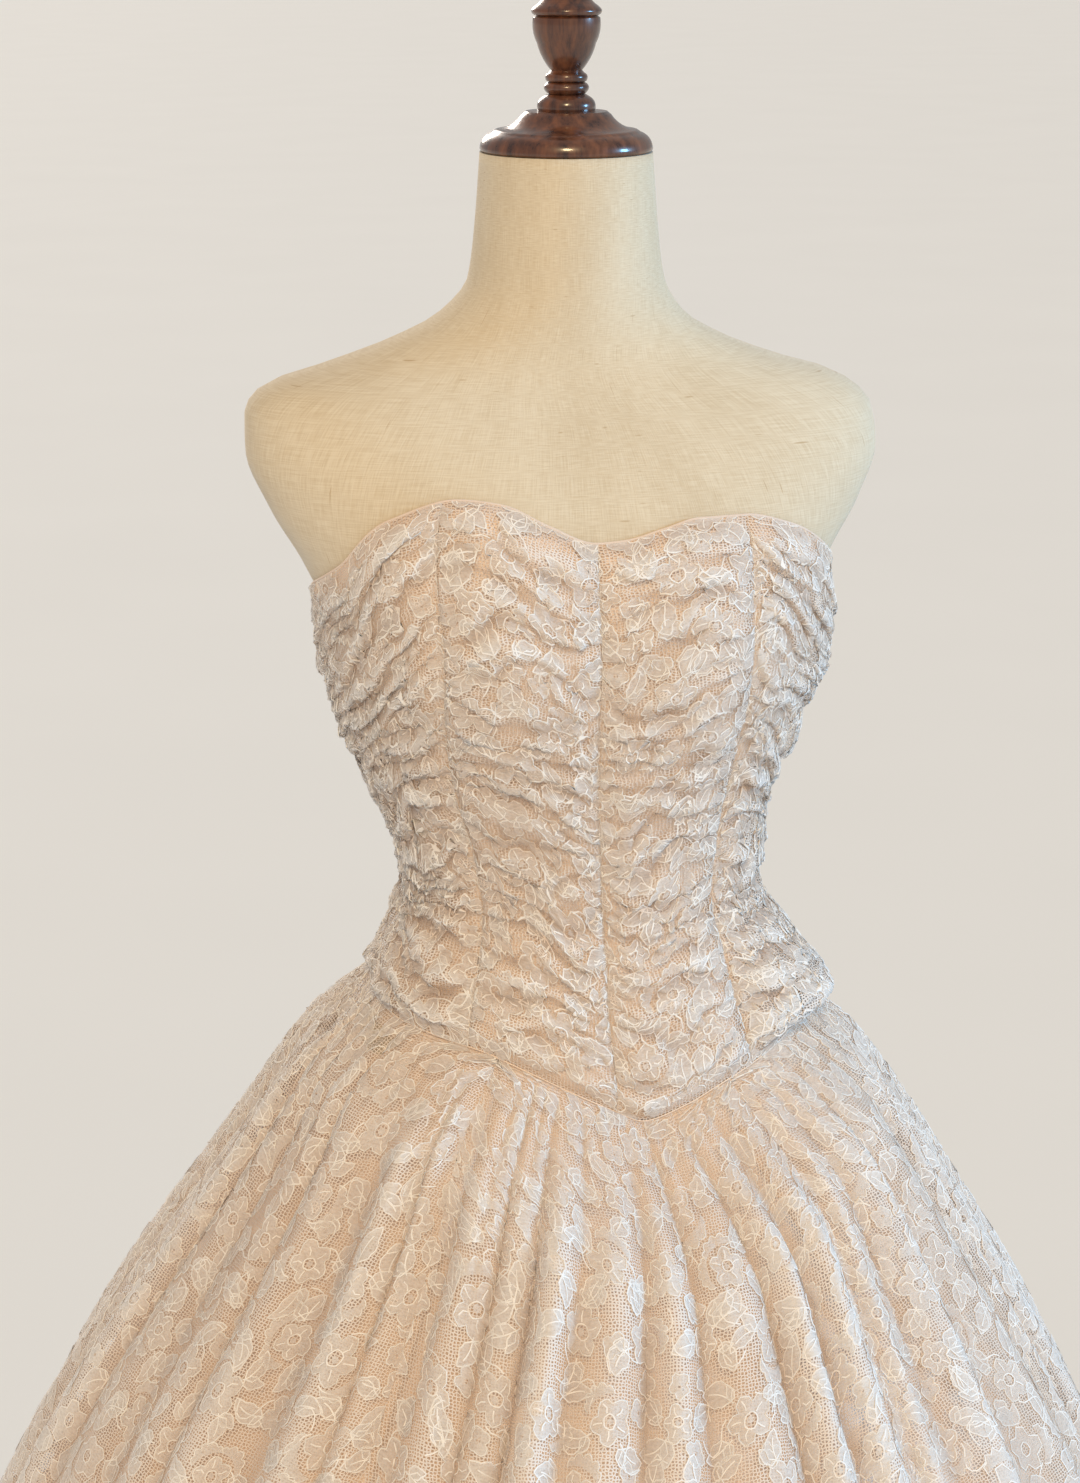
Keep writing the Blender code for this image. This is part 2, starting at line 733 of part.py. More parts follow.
def make_zip(home, cutters):
    """The closed zip at the centre back, its slider at the top and the pull tab hanging from it."""

    def place(across, along):
        sideways = ZIP_HALF_WIDTH * (2.0 * across - 1.0)
        return zip_point(sideways, 0.012 + 0.976 * bodice_rise(along), 0.0)

    chain = mapped_grid("zip_chain", 2, BODICE_ROWS, place, home)
    thicken(chain, ZIP_THICKNESS, outwards=True)
    satin(chain)

    low, high = basque_height(180.0), neckline_height(180.0)
    rise = (SLIDER_HEIGHT - low) / (high - low)
    seat = zip_point(0.0, rise, ZIP_THICKNESS + FIT_GAP * 1.5)
    above = zip_point(0.0, rise + 0.02, 0.0)
    below = zip_point(0.0, rise - 0.02, 0.0)
    lean = math.atan2(above.y - below.y, above.z - below.z)
    outward = Vector((0.0, math.cos(lean), -math.sin(lean)))

    slider = block("zip_slider", SLIDER_SIZE, home)
    bridge = block("slider_bridge", BRIDGE_SIZE + Vector((0.0, MM, 0.0)), cutters)
    bridge_hole = block("slider_bridge_hole", BRIDGE_HOLE, cutters)
    face = seat + outward * SLIDER_SIZE.y
    slider.location = seat + outward * (0.5 * SLIDER_SIZE.y)
    bridge.location = face + outward * (0.5 * (BRIDGE_SIZE.y - MM))
    bridge_hole.location = face + outward * (0.5 * BRIDGE_HOLE.y)
    for piece in (slider, bridge, bridge_hole):
        piece.rotation_euler.x = -lean
    cut(slider, bridge, "UNION")
    cut(slider, bridge_hole, "DIFFERENCE")
    nickel(slider)

    tab = block("zip_pull_tab", TAB_SIZE, home)
    corners = tab.data
    top = 0.5 * TAB_CROSSBAR
    for corner in corners.vertices:
        corner.co.z += top - 0.5 * TAB_SIZE.z
    tab_hole = block("tab_hole", TAB_HOLE, cutters)
    axis = face + outward * (0.5 * BRIDGE_HOLE.y)
    tab.location = axis
    tab_hole.location = axis - Vector((0.0, 0.0, top + 0.5 * TAB_HOLE.z))
    cut(tab, tab_hole, "DIFFERENCE")
    nickel(tab)


def main():
    for old in list(bpy.data.objects):
        bpy.data.objects.remove(old, do_unlink=True)
    gown = collection("ball_gown_on_dress_form")
    cutters = collection("cutters")
    make_torso(gown)
    make_stand(gown)
    make_satin_bodice(gown)
    make_lace_bodice(gown)
    make_satin_skirt(gown)
    make_lace_skirt(gown)
    make_zip(gown, cutters)


main()
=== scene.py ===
# %% [markdown]
# # A ball gown of ruched lace over satin, on a dress form
#
# The gown has two layers all over. Underneath is a peach satin foundation: a fitted bodice of eight
# panels and a plain flared skirt. Over it lies blush lace: eight bodice panels that are pulled up into
# folds between the seams, and a gathered skirt of five widths. It stands on a linen-covered form with
# turned wood on its neck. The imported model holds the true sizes, so this script loads it, keeps its box,
# and then dresses each part. All lengths are metres, the floor is z = 0, the front faces -Y, and +X is
# the wearer's left.

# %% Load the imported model
import json
import math
from typing import NamedTuple

import bmesh
import bpy
import numpy as np
from mathutils import Matrix, Vector

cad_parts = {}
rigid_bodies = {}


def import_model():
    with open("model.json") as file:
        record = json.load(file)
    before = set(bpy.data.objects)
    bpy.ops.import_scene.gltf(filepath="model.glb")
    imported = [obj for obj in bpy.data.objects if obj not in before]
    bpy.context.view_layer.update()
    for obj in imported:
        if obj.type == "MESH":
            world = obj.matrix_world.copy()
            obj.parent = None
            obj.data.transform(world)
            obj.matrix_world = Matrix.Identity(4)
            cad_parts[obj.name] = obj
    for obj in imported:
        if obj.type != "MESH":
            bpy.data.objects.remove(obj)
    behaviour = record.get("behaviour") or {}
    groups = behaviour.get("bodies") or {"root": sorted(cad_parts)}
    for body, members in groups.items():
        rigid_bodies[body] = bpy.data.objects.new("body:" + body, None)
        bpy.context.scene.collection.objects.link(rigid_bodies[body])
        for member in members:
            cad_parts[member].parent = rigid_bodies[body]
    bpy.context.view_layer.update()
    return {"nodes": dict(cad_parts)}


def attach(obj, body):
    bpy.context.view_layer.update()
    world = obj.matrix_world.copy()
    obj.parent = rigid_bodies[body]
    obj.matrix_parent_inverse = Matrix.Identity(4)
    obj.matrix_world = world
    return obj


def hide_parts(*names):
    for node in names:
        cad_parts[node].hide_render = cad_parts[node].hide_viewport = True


MM = 0.001

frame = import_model()

# %% [markdown]
# ## The camera
#
# A long lens a little above the neck, ten degrees to the wearer's right of the centre front, looks down
# on the bodice and the top of the skirt. It is placed first, so that every later step can be judged
# through it.

# %% Place the camera
CAMERA_DISTANCE = 1.8
CAMERA_HEIGHT = 1.6815
CAMERA_SIDE = math.radians(10.0)
CAMERA_PITCH = math.radians(16.5)
CAMERA_AIM = math.radians(0.51)  # turned this far off the form's middle line
CAMERA_LENS = 70.4

camera = bpy.data.objects.new("camera", bpy.data.cameras.new("camera"))
camera.data.lens = CAMERA_LENS
camera.data.clip_start = 0.05
camera.location = (
    -CAMERA_DISTANCE * math.sin(CAMERA_SIDE),
    -CAMERA_DISTANCE * math.cos(CAMERA_SIDE),
    CAMERA_HEIGHT,
)
camera.rotation_euler = (math.pi / 2 - CAMERA_PITCH, 0.0, CAMERA_AIM - CAMERA_SIDE)
bpy.context.scene.collection.objects.link(camera)
bpy.context.scene.camera = camera
print("camera at", [round(value, 3) for value in camera.location])

# %% [markdown]
# ## The body in numbers
#
# Cloth takes its shape from what is under it, so the form's own sizes come first. Each row is a level
# cut through the form: an oval given by half its width and its depth to the front and back, a little
# squarer than an ellipse where `power` is above 2. These are the model's own sizes, written again here
# because cloth finer than the model's has to follow the same curves. A smooth curve with no overshoot
# joins the rows, worked out for whole arrays of points at once, because some cloths have twenty
# thousand of them.


# %% Level cuts through the form and the skirt
class Section(NamedTuple):
    """One level cut, in metres. The power has no unit."""

    height: float
    half_width: float
    front: float
    back: float
    power: float
    sway: float  # how far the cut's middle stands towards the wearer's left


TORSO = [
    Section(0.800, 0.155, 0.106, 0.114, 2.3, 0.003),
    Section(0.860, 0.161, 0.113, 0.127, 2.3, 0.004),
    Section(0.920, 0.155, 0.112, 0.124, 2.3, 0.006),
    Section(0.980, 0.135, 0.104, 0.111, 2.3, 0.010),
    Section(1.020, 0.1190, 0.095, 0.095, 2.3, 0.010),
    Section(1.060, 0.1055, 0.088, 0.082, 2.3, 0.008),
    Section(1.100, 0.1105, 0.092, 0.084, 2.3, 0.006),
    Section(1.150, 0.1285, 0.102, 0.095, 2.3, 0.002),
    Section(1.200, 0.1460, 0.109, 0.103, 2.3, 0.001),
    Section(1.240, 0.1530, 0.112, 0.107, 2.3, 0.001),
    Section(1.275, 0.167, 0.111, 0.110, 2.3, 0.0),
    Section(1.310, 0.187, 0.104, 0.111, 2.3, 0.0),
    Section(1.345, 0.1995, 0.090, 0.103, 2.3, -0.001),
    Section(1.368, 0.1975, 0.076, 0.090, 2.2, -0.003),
    Section(1.384, 0.183, 0.064, 0.079, 2.1, -0.007),
    Section(1.397, 0.143, 0.057, 0.070, 2.0, -0.008),
    Section(1.410, 0.107, 0.054, 0.064, 2.0, -0.006),
    Section(1.426, 0.077, 0.0535, 0.060, 2.0, -0.003),
    Section(1.448, 0.061, 0.0540, 0.057, 2.0, 0.0),
    Section(1.480, 0.0565, 0.0545, 0.0555, 2.0, 0.0),
    Section(1.524, 0.0530, 0.0530, 0.0530, 2.0, 0.0),
]

SKIRT = [
    Section(0.014, 0.580, 0.566, 0.582, 2.0, 0.0),
    Section(0.200, 0.532, 0.518, 0.534, 2.0, 0.0),
    Section(0.350, 0.486, 0.472, 0.488, 2.0, 0.0),
    Section(0.500, 0.434, 0.419, 0.436, 2.0, 0.0),
    Section(0.650, 0.371, 0.355, 0.373, 2.0, 0.0),
    Section(0.740, 0.322, 0.305, 0.323, 2.0, 0.002),
    Section(0.820, 0.269, 0.251, 0.269, 2.05, 0.006),
    Section(0.890, 0.222, 0.205, 0.221, 2.1, 0.009),
    Section(0.940, 0.186, 0.171, 0.183, 2.15, 0.008),
    Section(0.975, 0.156, 0.145, 0.153, 2.2, 0.005),
    Section(1.010, 0.143, 0.120, 0.130, 2.3, 0.010),
]


def follow(rows, column, at):
    """Read a table's column at values of its first column, on a smooth curve with no overshoot."""
    xs = np.array([row[0] for row in rows])
    ys = np.array([getattr(row, column) for row in rows])
    at = np.clip(at, xs[0], xs[-1])
    low = np.clip(np.searchsorted(xs, at, side="right") - 1, 0, len(xs) - 2)
    secants = np.diff(ys) / np.diff(xs)
    before, after = secants[:-1], secants[1:]
    same_way = before * after > 0.0
    slopes = np.concatenate([secants[:1], np.zeros(len(xs) - 2), secants[-1:]])
    slopes[1:-1][same_way] = (2.0 * before * after)[same_way] / (before + after)[same_way]
    span = xs[low + 1] - xs[low]
    t = (at - xs[low]) / span
    return (
        ys[low] * (1.0 + 2.0 * t) * (1.0 - t) ** 2
        + ys[low + 1] * t * t * (3.0 - 2.0 * t)
        + span * slopes[low] * t * (1.0 - t) ** 2
        - span * slopes[low + 1] * t * t * (1.0 - t)
    )


def eased(t):
    """Go from 0 to 1 with a level start and end."""
    t = np.clip(t, 0.0, 1.0)
    return t * t * (3.0 - 2.0 * t)


def bell(offset, spread):
    """A soft rise that is 1 in the middle and fades away on both sides."""
    return np.exp(-0.5 * (offset / spread) ** 2)


TORSO_BOTTOM, NECK_TOP = TORSO[0].height, TORSO[-1].height
print("the form's level cuts go from", TORSO_BOTTOM, "to", NECK_TOP, "m above the floor")


# %% [markdown]
# ## The bodice's edges and swellings
#
# `around` is always degrees from the centre front, positive towards the wearer's left. The neckline
# dips at the centre front and peaks over each bust; the basque seam drops to a point below the waist
# that leans to the wearer's left. A mound is a soft rise, like a bell in degrees and in height: two are
# the bust and the others are where the lace puffs out at the sides.


# %% Edges, bust and puffs
class Edge(NamedTuple):
    around: float
    neckline: float
    basque: float


EDGES = [
    Edge(-180.0, 1.234, 0.984),
    Edge(-140.0, 1.238, 0.984),
    Edge(-105.0, 1.248, 0.986),
    Edge(-80.0, 1.268, 0.985),
    Edge(-67.0, 1.286, 0.983),
    Edge(-56.0, 1.315, 0.981),
    Edge(-42.0, 1.328, 0.976),
    Edge(-30.0, 1.325, 0.966),
    Edge(-16.0, 1.313, 0.952),
    Edge(0.0, 1.302, 0.937),
    Edge(9.0, 1.303, 0.930),
    Edge(22.0, 1.309, 0.937),
    Edge(33.0, 1.314, 0.946),
    Edge(45.0, 1.314, 0.954),
    Edge(56.0, 1.306, 0.960),
    Edge(67.0, 1.289, 0.964),
    Edge(80.0, 1.268, 0.970),
    Edge(105.0, 1.248, 0.980),
    Edge(140.0, 1.238, 0.984),
    Edge(180.0, 1.234, 0.984),
]


class Mound(NamedTuple):
    around: float
    height: float
    rise: float
    spread_around: float
    spread_height: float


BUST = [
    Mound(-33.0, 1.232, 0.017, 18.0, 0.042),
    Mound(33.0, 1.232, 0.017, 18.0, 0.042),
]

PUFFS = [
    Mound(80.0, 1.246, 0.007, 13.0, 0.012),
    Mound(76.0, 1.214, 0.009, 13.0, 0.012),
    Mound(78.0, 1.165, 0.003, 14.0, 0.016),
    Mound(80.0, 1.090, 0.005, 14.0, 0.016),
    Mound(78.0, 1.030, 0.004, 14.0, 0.014),
    Mound(72.0, 0.990, 0.023, 17.0, 0.024),
    Mound(-100.0, 1.170, 0.005, 14.0, 0.014),
    Mound(-102.0, 1.124, 0.007, 13.0, 0.010),
]

POINT_TURN = 3.5  # degrees that the basque's point hangs round towards the wearer's left
POINT_TURN_BELOW = 1.000
POINT_TURN_DROP = 0.065  # how far below that height the whole turn is reached
BUST_TURN = 5.5  # degrees that the front seams come in over the bust
BUST_HEIGHT = 1.235
BUST_REACH = 0.040  # how far above and below the bust they do so


def apart(one, other):
    """The shorter way round between two places, in degrees."""
    return np.abs((one - other + 180.0) % 360.0 - 180.0)


def mound_rise(mound, around, height):
    """How far a mound lifts the surface at a place."""
    sideways = apart(around, mound.around) / mound.spread_around
    upwards = (height - mound.height) / mound.spread_height
    return mound.rise * np.exp(-0.5 * (sideways**2 + upwards**2))


def oval_radius(table, around, height):
    """Distance from a section's middle to its edge."""
    angle = np.radians(around)
    power = follow(table, "power", height)
    front, back = follow(table, "front", height), follow(table, "back", height)
    depth = np.where(np.cos(angle) > 0.0, front, back)
    side = np.abs(np.sin(angle)) / follow(table, "half_width", height)
    ahead = np.abs(np.cos(angle)) / depth
    return (side**power + ahead**power) ** (-1.0 / power)


def torso_point(around, height, out=0.0):
    """Points on the form, or moved away from its middle line by out."""
    radius = oval_radius(TORSO, around, height) + out
    for mound in BUST:
        radius = radius + mound_rise(mound, around, height)
    angle = np.radians(around)
    middle = follow(TORSO, "sway", height)
    x = middle + radius * np.sin(angle)
    return np.stack(np.broadcast_arrays(x, -radius * np.cos(angle), height), axis=-1)


def wrapped(around):
    """The same place round the body, from -180 to 180 degrees."""
    return (around + 180.0) % 360.0 - 180.0


def basque_height(around):
    """The height of the basque seam at a place round the body."""
    return follow(EDGES, "basque", wrapped(around))


def neckline_height(around):
    """The height of the bodice's top edge at a place round the body."""
    return follow(EDGES, "neckline", wrapped(around))


def seam_lean(around, height):
    """Degrees that a seam strays: in over the bust, and to the wearer's left at the basque's point."""
    low_down = eased((POINT_TURN_BELOW - height) / POINT_TURN_DROP)
    in_front = 0.5 + 0.5 * np.cos(np.radians(around))
    over_bust = bell(height - BUST_HEIGHT, BUST_REACH)
    side = np.where(apart(around, 0.0) < 90.0, np.sin(np.radians(2.0 * around)), 0.0)
    return POINT_TURN * low_down * in_front - BUST_TURN * over_bust * side * np.abs(side)


def bodice_base(around, rise):
    """The form's surface under the bodice, with rise 0 on the basque seam and 1 on the neckline."""
    low = basque_height(around)
    height = low + (neckline_height(around) - low) * rise
    return torso_point(around + seam_lean(around, height), height)


def outwards(sideways, upward):
    """Directions straight out from a surface, from steps along it."""
    out = np.cross(sideways, upward)
    return out / np.linalg.norm(out, axis=-1, keepdims=True)


def bodice_point(around, rise, lift):
    """Points of the bodice, moved straight out from the form by lift."""
    step_around, step_rise = 0.5, 0.01
    sideways = bodice_base(around + step_around, rise) - bodice_base(around - step_around, rise)
    low, high = np.clip(rise - step_rise, 0.0, 1.0), np.clip(rise + step_rise, 0.0, 1.0)
    out = outwards(sideways, bodice_base(around, high) - bodice_base(around, low))
    return bodice_base(around, rise) + out * np.asarray(lift)[..., None]


waist = torso_point(np.linspace(-180.0, 180.0, 181), np.full(181, 1.06))
waist_girth = float(np.linalg.norm(np.diff(waist, axis=0), axis=1).sum())
print("the form's waist is", round(waist_girth, 3), "m round")

# %% [markdown]
# ## Laying cloth
#
# A pattern cutter works in two places at once: on the flat cloth and on the body. Here too. Each panel
# has a surface, which turns `across` and `along` (both 0 to 1) into points in space, and a flat cut,
# whose width and length in metres go into the UV map. The net, the weave and the lace flowers are all
# laid out on the flat cut, so they keep their scale where the cloth folds or gathers.


# %% A panel with its surface and its flat cut
SAMPLES = 241  # each way, where a panel is measured
SLOPE_STEP = 0.002  # share of a panel's width or length, for finding which way it faces
SETTLING_ROUNDS = 4  # of going back and forth to find a place of the flat cut on the body


def running_length(points, axis):
    """How far each point is from the start, measured along the rows or columns of a grid."""
    steps = np.linalg.norm(np.diff(points, axis=axis), axis=2)
    start = np.zeros_like(np.take(steps, [0], axis=axis))
    return np.cumsum(np.concatenate([start, steps], axis=axis), axis=axis)


def look_up(grid, across, along):
    """Read a square grid of values between its samples. Rows go along and columns go across."""
    column = np.clip(across, 0.0, 1.0) * (SAMPLES - 1)
    row = np.clip(along, 0.0, 1.0) * (SAMPLES - 1)
    left, low = np.minimum(column.astype(int), SAMPLES - 2), np.minimum(row.astype(int), SAMPLES - 2)
    right_share, top_share = column - left, row - low
    lower = grid[low, left] * (1.0 - right_share) + grid[low, left + 1] * right_share
    upper = grid[low + 1, left] * (1.0 - right_share) + grid[low + 1, left + 1] * right_share
    return lower * (1.0 - top_share) + upper * top_share


def softened(grid, reach):
    """Average each place of a grid of points with its neighbours, up to reach samples each way."""
    for axis in (0, 1):
        edges = [(reach + 1, reach) if side == axis else (0, 0) for side in range(3)]
        total = np.cumsum(np.pad(grid, edges, mode="edge"), axis=axis)
        count = 2 * reach + 1
        upper = np.take(total, range(count, count + SAMPLES), axis=axis)
        grid = (upper - np.take(total, range(SAMPLES), axis=axis)) / count
    return grid


class Cloth:
    """A panel of cloth: where it lies in space, and how big the flat piece is that it was cut from.

    The cut is measured over the folds, so a flower on the side of a fold is seen edge-on, as on real
    cloth, and doesn't stretch. Fullness adds what is taken up by gathers too small to model.
    """

    def __init__(self, name, surface, fullness_across=(1.0, 1.0), fullness_along=1.0, folds=(8, 1.0)):
        self.name = name
        self.surface = surface
        even = np.linspace(0.0, 1.0, SAMPLES)
        across, along = np.meshgrid(even, even)
        points = surface(across, along)
        sideways, upward = running_length(points, 1), running_length(points, 0)
        self.widths = sideways[:, -1] * np.interp(even, (0.0, 1.0), fullness_across)
        self.distances = upward.mean(axis=1) * fullness_along
        self.width_shares = sideways / sideways[:, -1:]
        self.length_shares = upward / upward[-1:, :]
        self.across_at = np.stack([np.interp(even, row, even) for row in self.width_shares])
        self.along_at = np.stack([np.interp(even, column, even) for column in self.length_shares.T], -1)
        self.length = float(self.distances[-1])
        self.width = float(self.widths.max())
        middle_widths = 0.5 * (self.widths[1:] + self.widths[:-1])
        self.area = float((middle_widths * np.diff(self.distances)).sum())
        reach, depth = folds  # samples to smooth over, and the depth in mm of a full fold
        around_it = softened(points, reach)
        out = outwards(np.gradient(around_it, axis=1), np.gradient(around_it, axis=0))
        self.relief = np.clip(((points - around_it) * out).sum(axis=-1) / (depth * MM), -1.0, 1.0)

    def width_at(self, up):
        return np.interp(up, self.distances, self.widths)

    def on_cut(self, across, along):
        """Places on the flat cut, in metres from the middle of its lower edge."""
        up = look_up(self.length_shares, across, along) * self.length
        sideways = (look_up(self.width_shares, across, along) - 0.5) * self.width_at(up)
        return np.stack([sideways, up], -1)

    def on_body(self, sideways, up):
        """across and along for places on the flat cut; past the edges they leave 0 to 1."""
        width_share = sideways / self.width_at(up) + 0.5
        length_share = up / self.length
        across, along = width_share, length_share
        for _ in range(SETTLING_ROUNDS):
            along = look_up(self.along_at, across, length_share)
            across = look_up(self.across_at, width_share, along)
        past_sides = width_share - np.clip(width_share, 0.0, 1.0)
        past_ends = length_share - np.clip(length_share, 0.0, 1.0)
        return across + past_sides, along + past_ends

    def point(self, across, along, lift):
        """Points a lift above the cloth, straight out from it."""
        left, right = (
            self.surface(np.clip(across + step, 0.0, 1.0), along) for step in (-SLOPE_STEP, SLOPE_STEP)
        )
        below, above = (
            self.surface(across, np.clip(along + step, 0.0, 1.0)) for step in (-SLOPE_STEP, SLOPE_STEP)
        )
        out = outwards(right - left, above - below)
        return self.surface(across, along) + out * np.asarray(lift)[..., None]

    def write_relief(self, mesh, across, along):
        """Store how far each corner stands out on a fold, at 1, or down in a crease, at -1."""
        layer = mesh.attributes.new("relief", "FLOAT", "POINT")
        layer.data.foreach_set("value", look_up(self.relief, across, along))


def new_object(name, mesh):
    made = bpy.data.objects.new(name, mesh)
    bpy.context.scene.collection.objects.link(made)
    return made


def mesh_of(name, shape):
    """Turn a bmesh into a smooth-shaded mesh."""
    mesh = bpy.data.meshes.new(name)
    shape.to_mesh(mesh)
    shape.free()
    mesh.shade_smooth()
    return mesh


def vertex_places(mesh):
    places = np.empty(len(mesh.vertices) * 3)
    mesh.vertices.foreach_get("co", places)
    return places.reshape(-1, 3)


def write_uv(mesh, per_vertex):
    """Give a mesh the UV map "cloth" from one place for each vertex."""
    corners = np.empty(len(mesh.loops), dtype=np.int32)
    mesh.loops.foreach_get("vertex_index", corners)
    layer = mesh.uv_layers.new(name="cloth")
    layer.data.foreach_set("uv", per_vertex[corners].ravel())


def laid_grid(name, columns, rows, place, cut):
    """A grid moved to place(across, along), with its UV map from cut(across, along)."""
    shape = bmesh.new()
    bmesh.ops.create_grid(shape, x_segments=columns, y_segments=rows, size=0.5)
    mesh = mesh_of(name, shape)
    across, along = vertex_places(mesh)[:, :2].T + 0.5
    mesh.vertices.foreach_set("co", place(across, along).ravel())
    write_uv(mesh, cut(across, along))
    mesh.update()
    return new_object(name, mesh)


def laid_cloth(cloth, columns, rows):
    """A cloth's own grid, which also knows its folds."""
    piece = laid_grid(cloth.name, columns, rows, cloth.surface, cloth.on_cut)
    across, along = np.meshgrid(np.linspace(0.0, 1.0, columns + 1), np.linspace(0.0, 1.0, rows + 1))
    cloth.write_relief(piece.data, across.ravel(), along.ravel())
    return piece


def lay_panels(prefix, panels, surface_of, grid, **cut):
    """Lay one layer of the gown, and give back each panel's cloth and piece by the panel's name."""
    layer = {}
    for panel in panels:
        cloth = Cloth(prefix + panel.name, surface_of(panel), **cut)
        layer[panel.name] = (cloth, laid_cloth(cloth, *grid))
        print(cloth.name, "is cut", round(cloth.width, 3), "by", round(cloth.length, 3), "m")
    return layer


def thicken(piece, wall, side):
    """Give a sheet its wall, on its outer side at 1 or its inner side at -1."""
    solid = piece.modifiers.new("wall", "SOLIDIFY")
    solid.thickness = wall
    solid.offset = side
    solid.use_rim = True


def drift(x, y, seed):
    """A smooth unevenness between about -1 and 1, the same on every run."""
    return 0.5 * (
        np.sin(1.9 * x + 2.7 * y + 1.3 * seed)
        + 0.6 * np.sin(-3.1 * x + 4.3 * y + 2.9 * seed)
        + 0.4 * np.sin(6.7 * x + 1.7 * y + 4.1 * seed)
    )


print("each panel is measured at", SAMPLES, "by", SAMPLES, "places")

# %% [markdown]
# ## Walls, gaps and panels
#
# These are the model's own sizes for the cloth: where the satin lies over the form, where the lace lies
# over the satin at a seam, and the degrees at which each panel starts and ends. Grids are given as columns
# and rows.

# %% Sizes of the cloth
SATIN_WALL = 1.0 * MM
LACE_WALL = 1.0 * MM
SEAM_GAP = 0.3 * MM
BASQUE_GAP = 0.8 * MM
BODY_EASE = 2.6 * MM
NECKLINE_EASE = 1.3 * MM
NECKLINE_EASE_SHARE = 0.15  # of the bodice's height, over which the ease grows
LAYER_GAP = 0.5 * MM
ZIP_OPENING = 5.6 * MM
LACE_HEM_HEIGHT = 0.014
LACE_FLARE_DROP = 0.040
LACE_FOLD_DEPTH = 6.0 * MM
LACE_HEM_FOLD_DEPTH = 22.0 * MM
SATIN_HEM_HEIGHT = 0.030
SATIN_FLARE_DROP = 0.090
SATIN_FOLD_DEPTH = 3.0 * MM
SATIN_HEM_FOLD_DEPTH = 8.0 * MM
SATIN_FOLDS = 2.0
SATIN_INSET = 26.0 * MM
POINT_EASE = 0.050
POINT_EASE_AROUND, POINT_EASE_SPREAD = 10.0, 32.0
LEAN_DROP = 0.300
GOWN = "gown_on_form"
SATIN_BODICE_GRID, LACE_BODICE_GRID = (12, 30), (38, 150)
SATIN_SKIRT_GRID, LACE_SKIRT_GRID = (40, 36), (132, 64)


class BodicePanel(NamedTuple):
    name: str
    start: float
    end: float
    folds: float  # how many folds lie one above the other
    depth: float  # how deep they are, in mm
    rise_top: float  # folds climbed from the panel's first seam to its second, near the neckline
    rise_low: float  # and near the basque
    crumple: float  # how far the folds wander
    seed: float


BODICE_PANELS = [
    BodicePanel("front_left", 0.0, 45.0, 16.0, 3.6, 0.2, 0.5, 0.16, 0.4),
    BodicePanel("side_front_left", 45.0, 90.0, 16.0, 6.0, 2.4, -1.4, 0.26, 2.1),
    BodicePanel("side_back_left", 90.0, 135.0, 13.0, 5.2, -0.6, 0.8, 0.20, 3.9),
    BodicePanel("back_left", 135.0, 180.0, 13.0, 4.4, 0.8, -0.6, 0.18, 5.2),
    BodicePanel("back_right", -180.0, -135.0, 13.0, 4.4, -0.8, 0.5, 0.18, 1.3),
    BodicePanel("side_back_right", -135.0, -90.0, 13.0, 5.2, 0.6, -0.8, 0.20, 2.8),
    BodicePanel("side_front_right", -90.0, -45.0, 16.0, 6.0, -2.4, 1.4, 0.26, 4.6),
    BodicePanel("front_right", -45.0, 0.0, 16.0, 3.6, -0.2, -0.5, 0.16, 5.8),
]


class SkirtPanel(NamedTuple):
    name: str
    start: float
    end: float
    folds: float
    shift: float


SKIRT_PANELS = [
    SkirtPanel("front", -36.0, 36.0, 4.0, 0.7),
    SkirtPanel("side_left", 36.0, 108.0, 4.0, -0.8),
    SkirtPanel("back_left", 108.0, 180.0, 4.0, 0.6),
    SkirtPanel("back_right", -180.0, -108.0, 4.0, -0.6),
    SkirtPanel("side_right", -108.0, -36.0, 4.0, 0.9),
]

print("each layer has", len(BODICE_PANELS), "bodice panels and", len(SKIRT_PANELS), "skirt widths")


def satin_lift(rise):
    """The satin fits close at the neckline and with a little ease below it."""
    return NECKLINE_EASE + (BODY_EASE - NECKLINE_EASE) * eased((1.0 - rise) / NECKLINE_EASE_SHARE)


def lace_seam_lift(rise):
    """Where the lace's outer face lies at a seam, above the form."""
    return satin_lift(rise) + SATIN_WALL + LAYER_GAP + LACE_WALL


def panel_radius(around, rise):
    """Roughly how far the bodice stands from its middle line."""
    point = bodice_base(around, rise)
    return np.hypot(point[..., 0], point[..., 1])


def panel_around(panel, across, start_gap, end_gap, radius):
    """Degrees round the body at a share of the panel's width, leaving the gaps at its seams."""
    start = panel.start + np.degrees(start_gap / radius)
    end = panel.end - np.degrees(end_gap / radius)
    return start + (end - start) * across


# %% [markdown]
# ## Ruched lace
#
# Ruching is one long strip of lace drawn up to fit between two seams. Right at a seam it is pinched
# into many tight gathers. A couple of centimetres away, pairs of gathers run together into broad folds
# that cross the panel, sag a little and fade in and out. A cloth simulation gives folds that wander
# too freely here, so they are placed by a formula. One phase counts the folds up the panel; its double
# makes the tight gathers, so that each broad fold splits in two near the seam, as the real ones do.
# Each fold also sinks under its own weight, which makes the shadow under it sharper than the one above.


# %% Ruching
GATHER_DEPTH = 2.6 * MM
GATHER_REACH = 0.014  # how far from the seam the tight gathers die away
FOLD_START = 0.018  # how far from the seam the broad folds are at full depth
CRUMPLE_DEPTH = 1.3 * MM  # of the small creases that run between the folds
PANEL_PUFF = 1.5 * MM
SAG = 1.1  # how far down a fold hangs for each millimetre that it stands out


def roll(phase, sharpness):
    """Round crests with creases between them, one for each whole number of phase."""
    return np.abs(np.sin(np.pi * phase)) ** sharpness


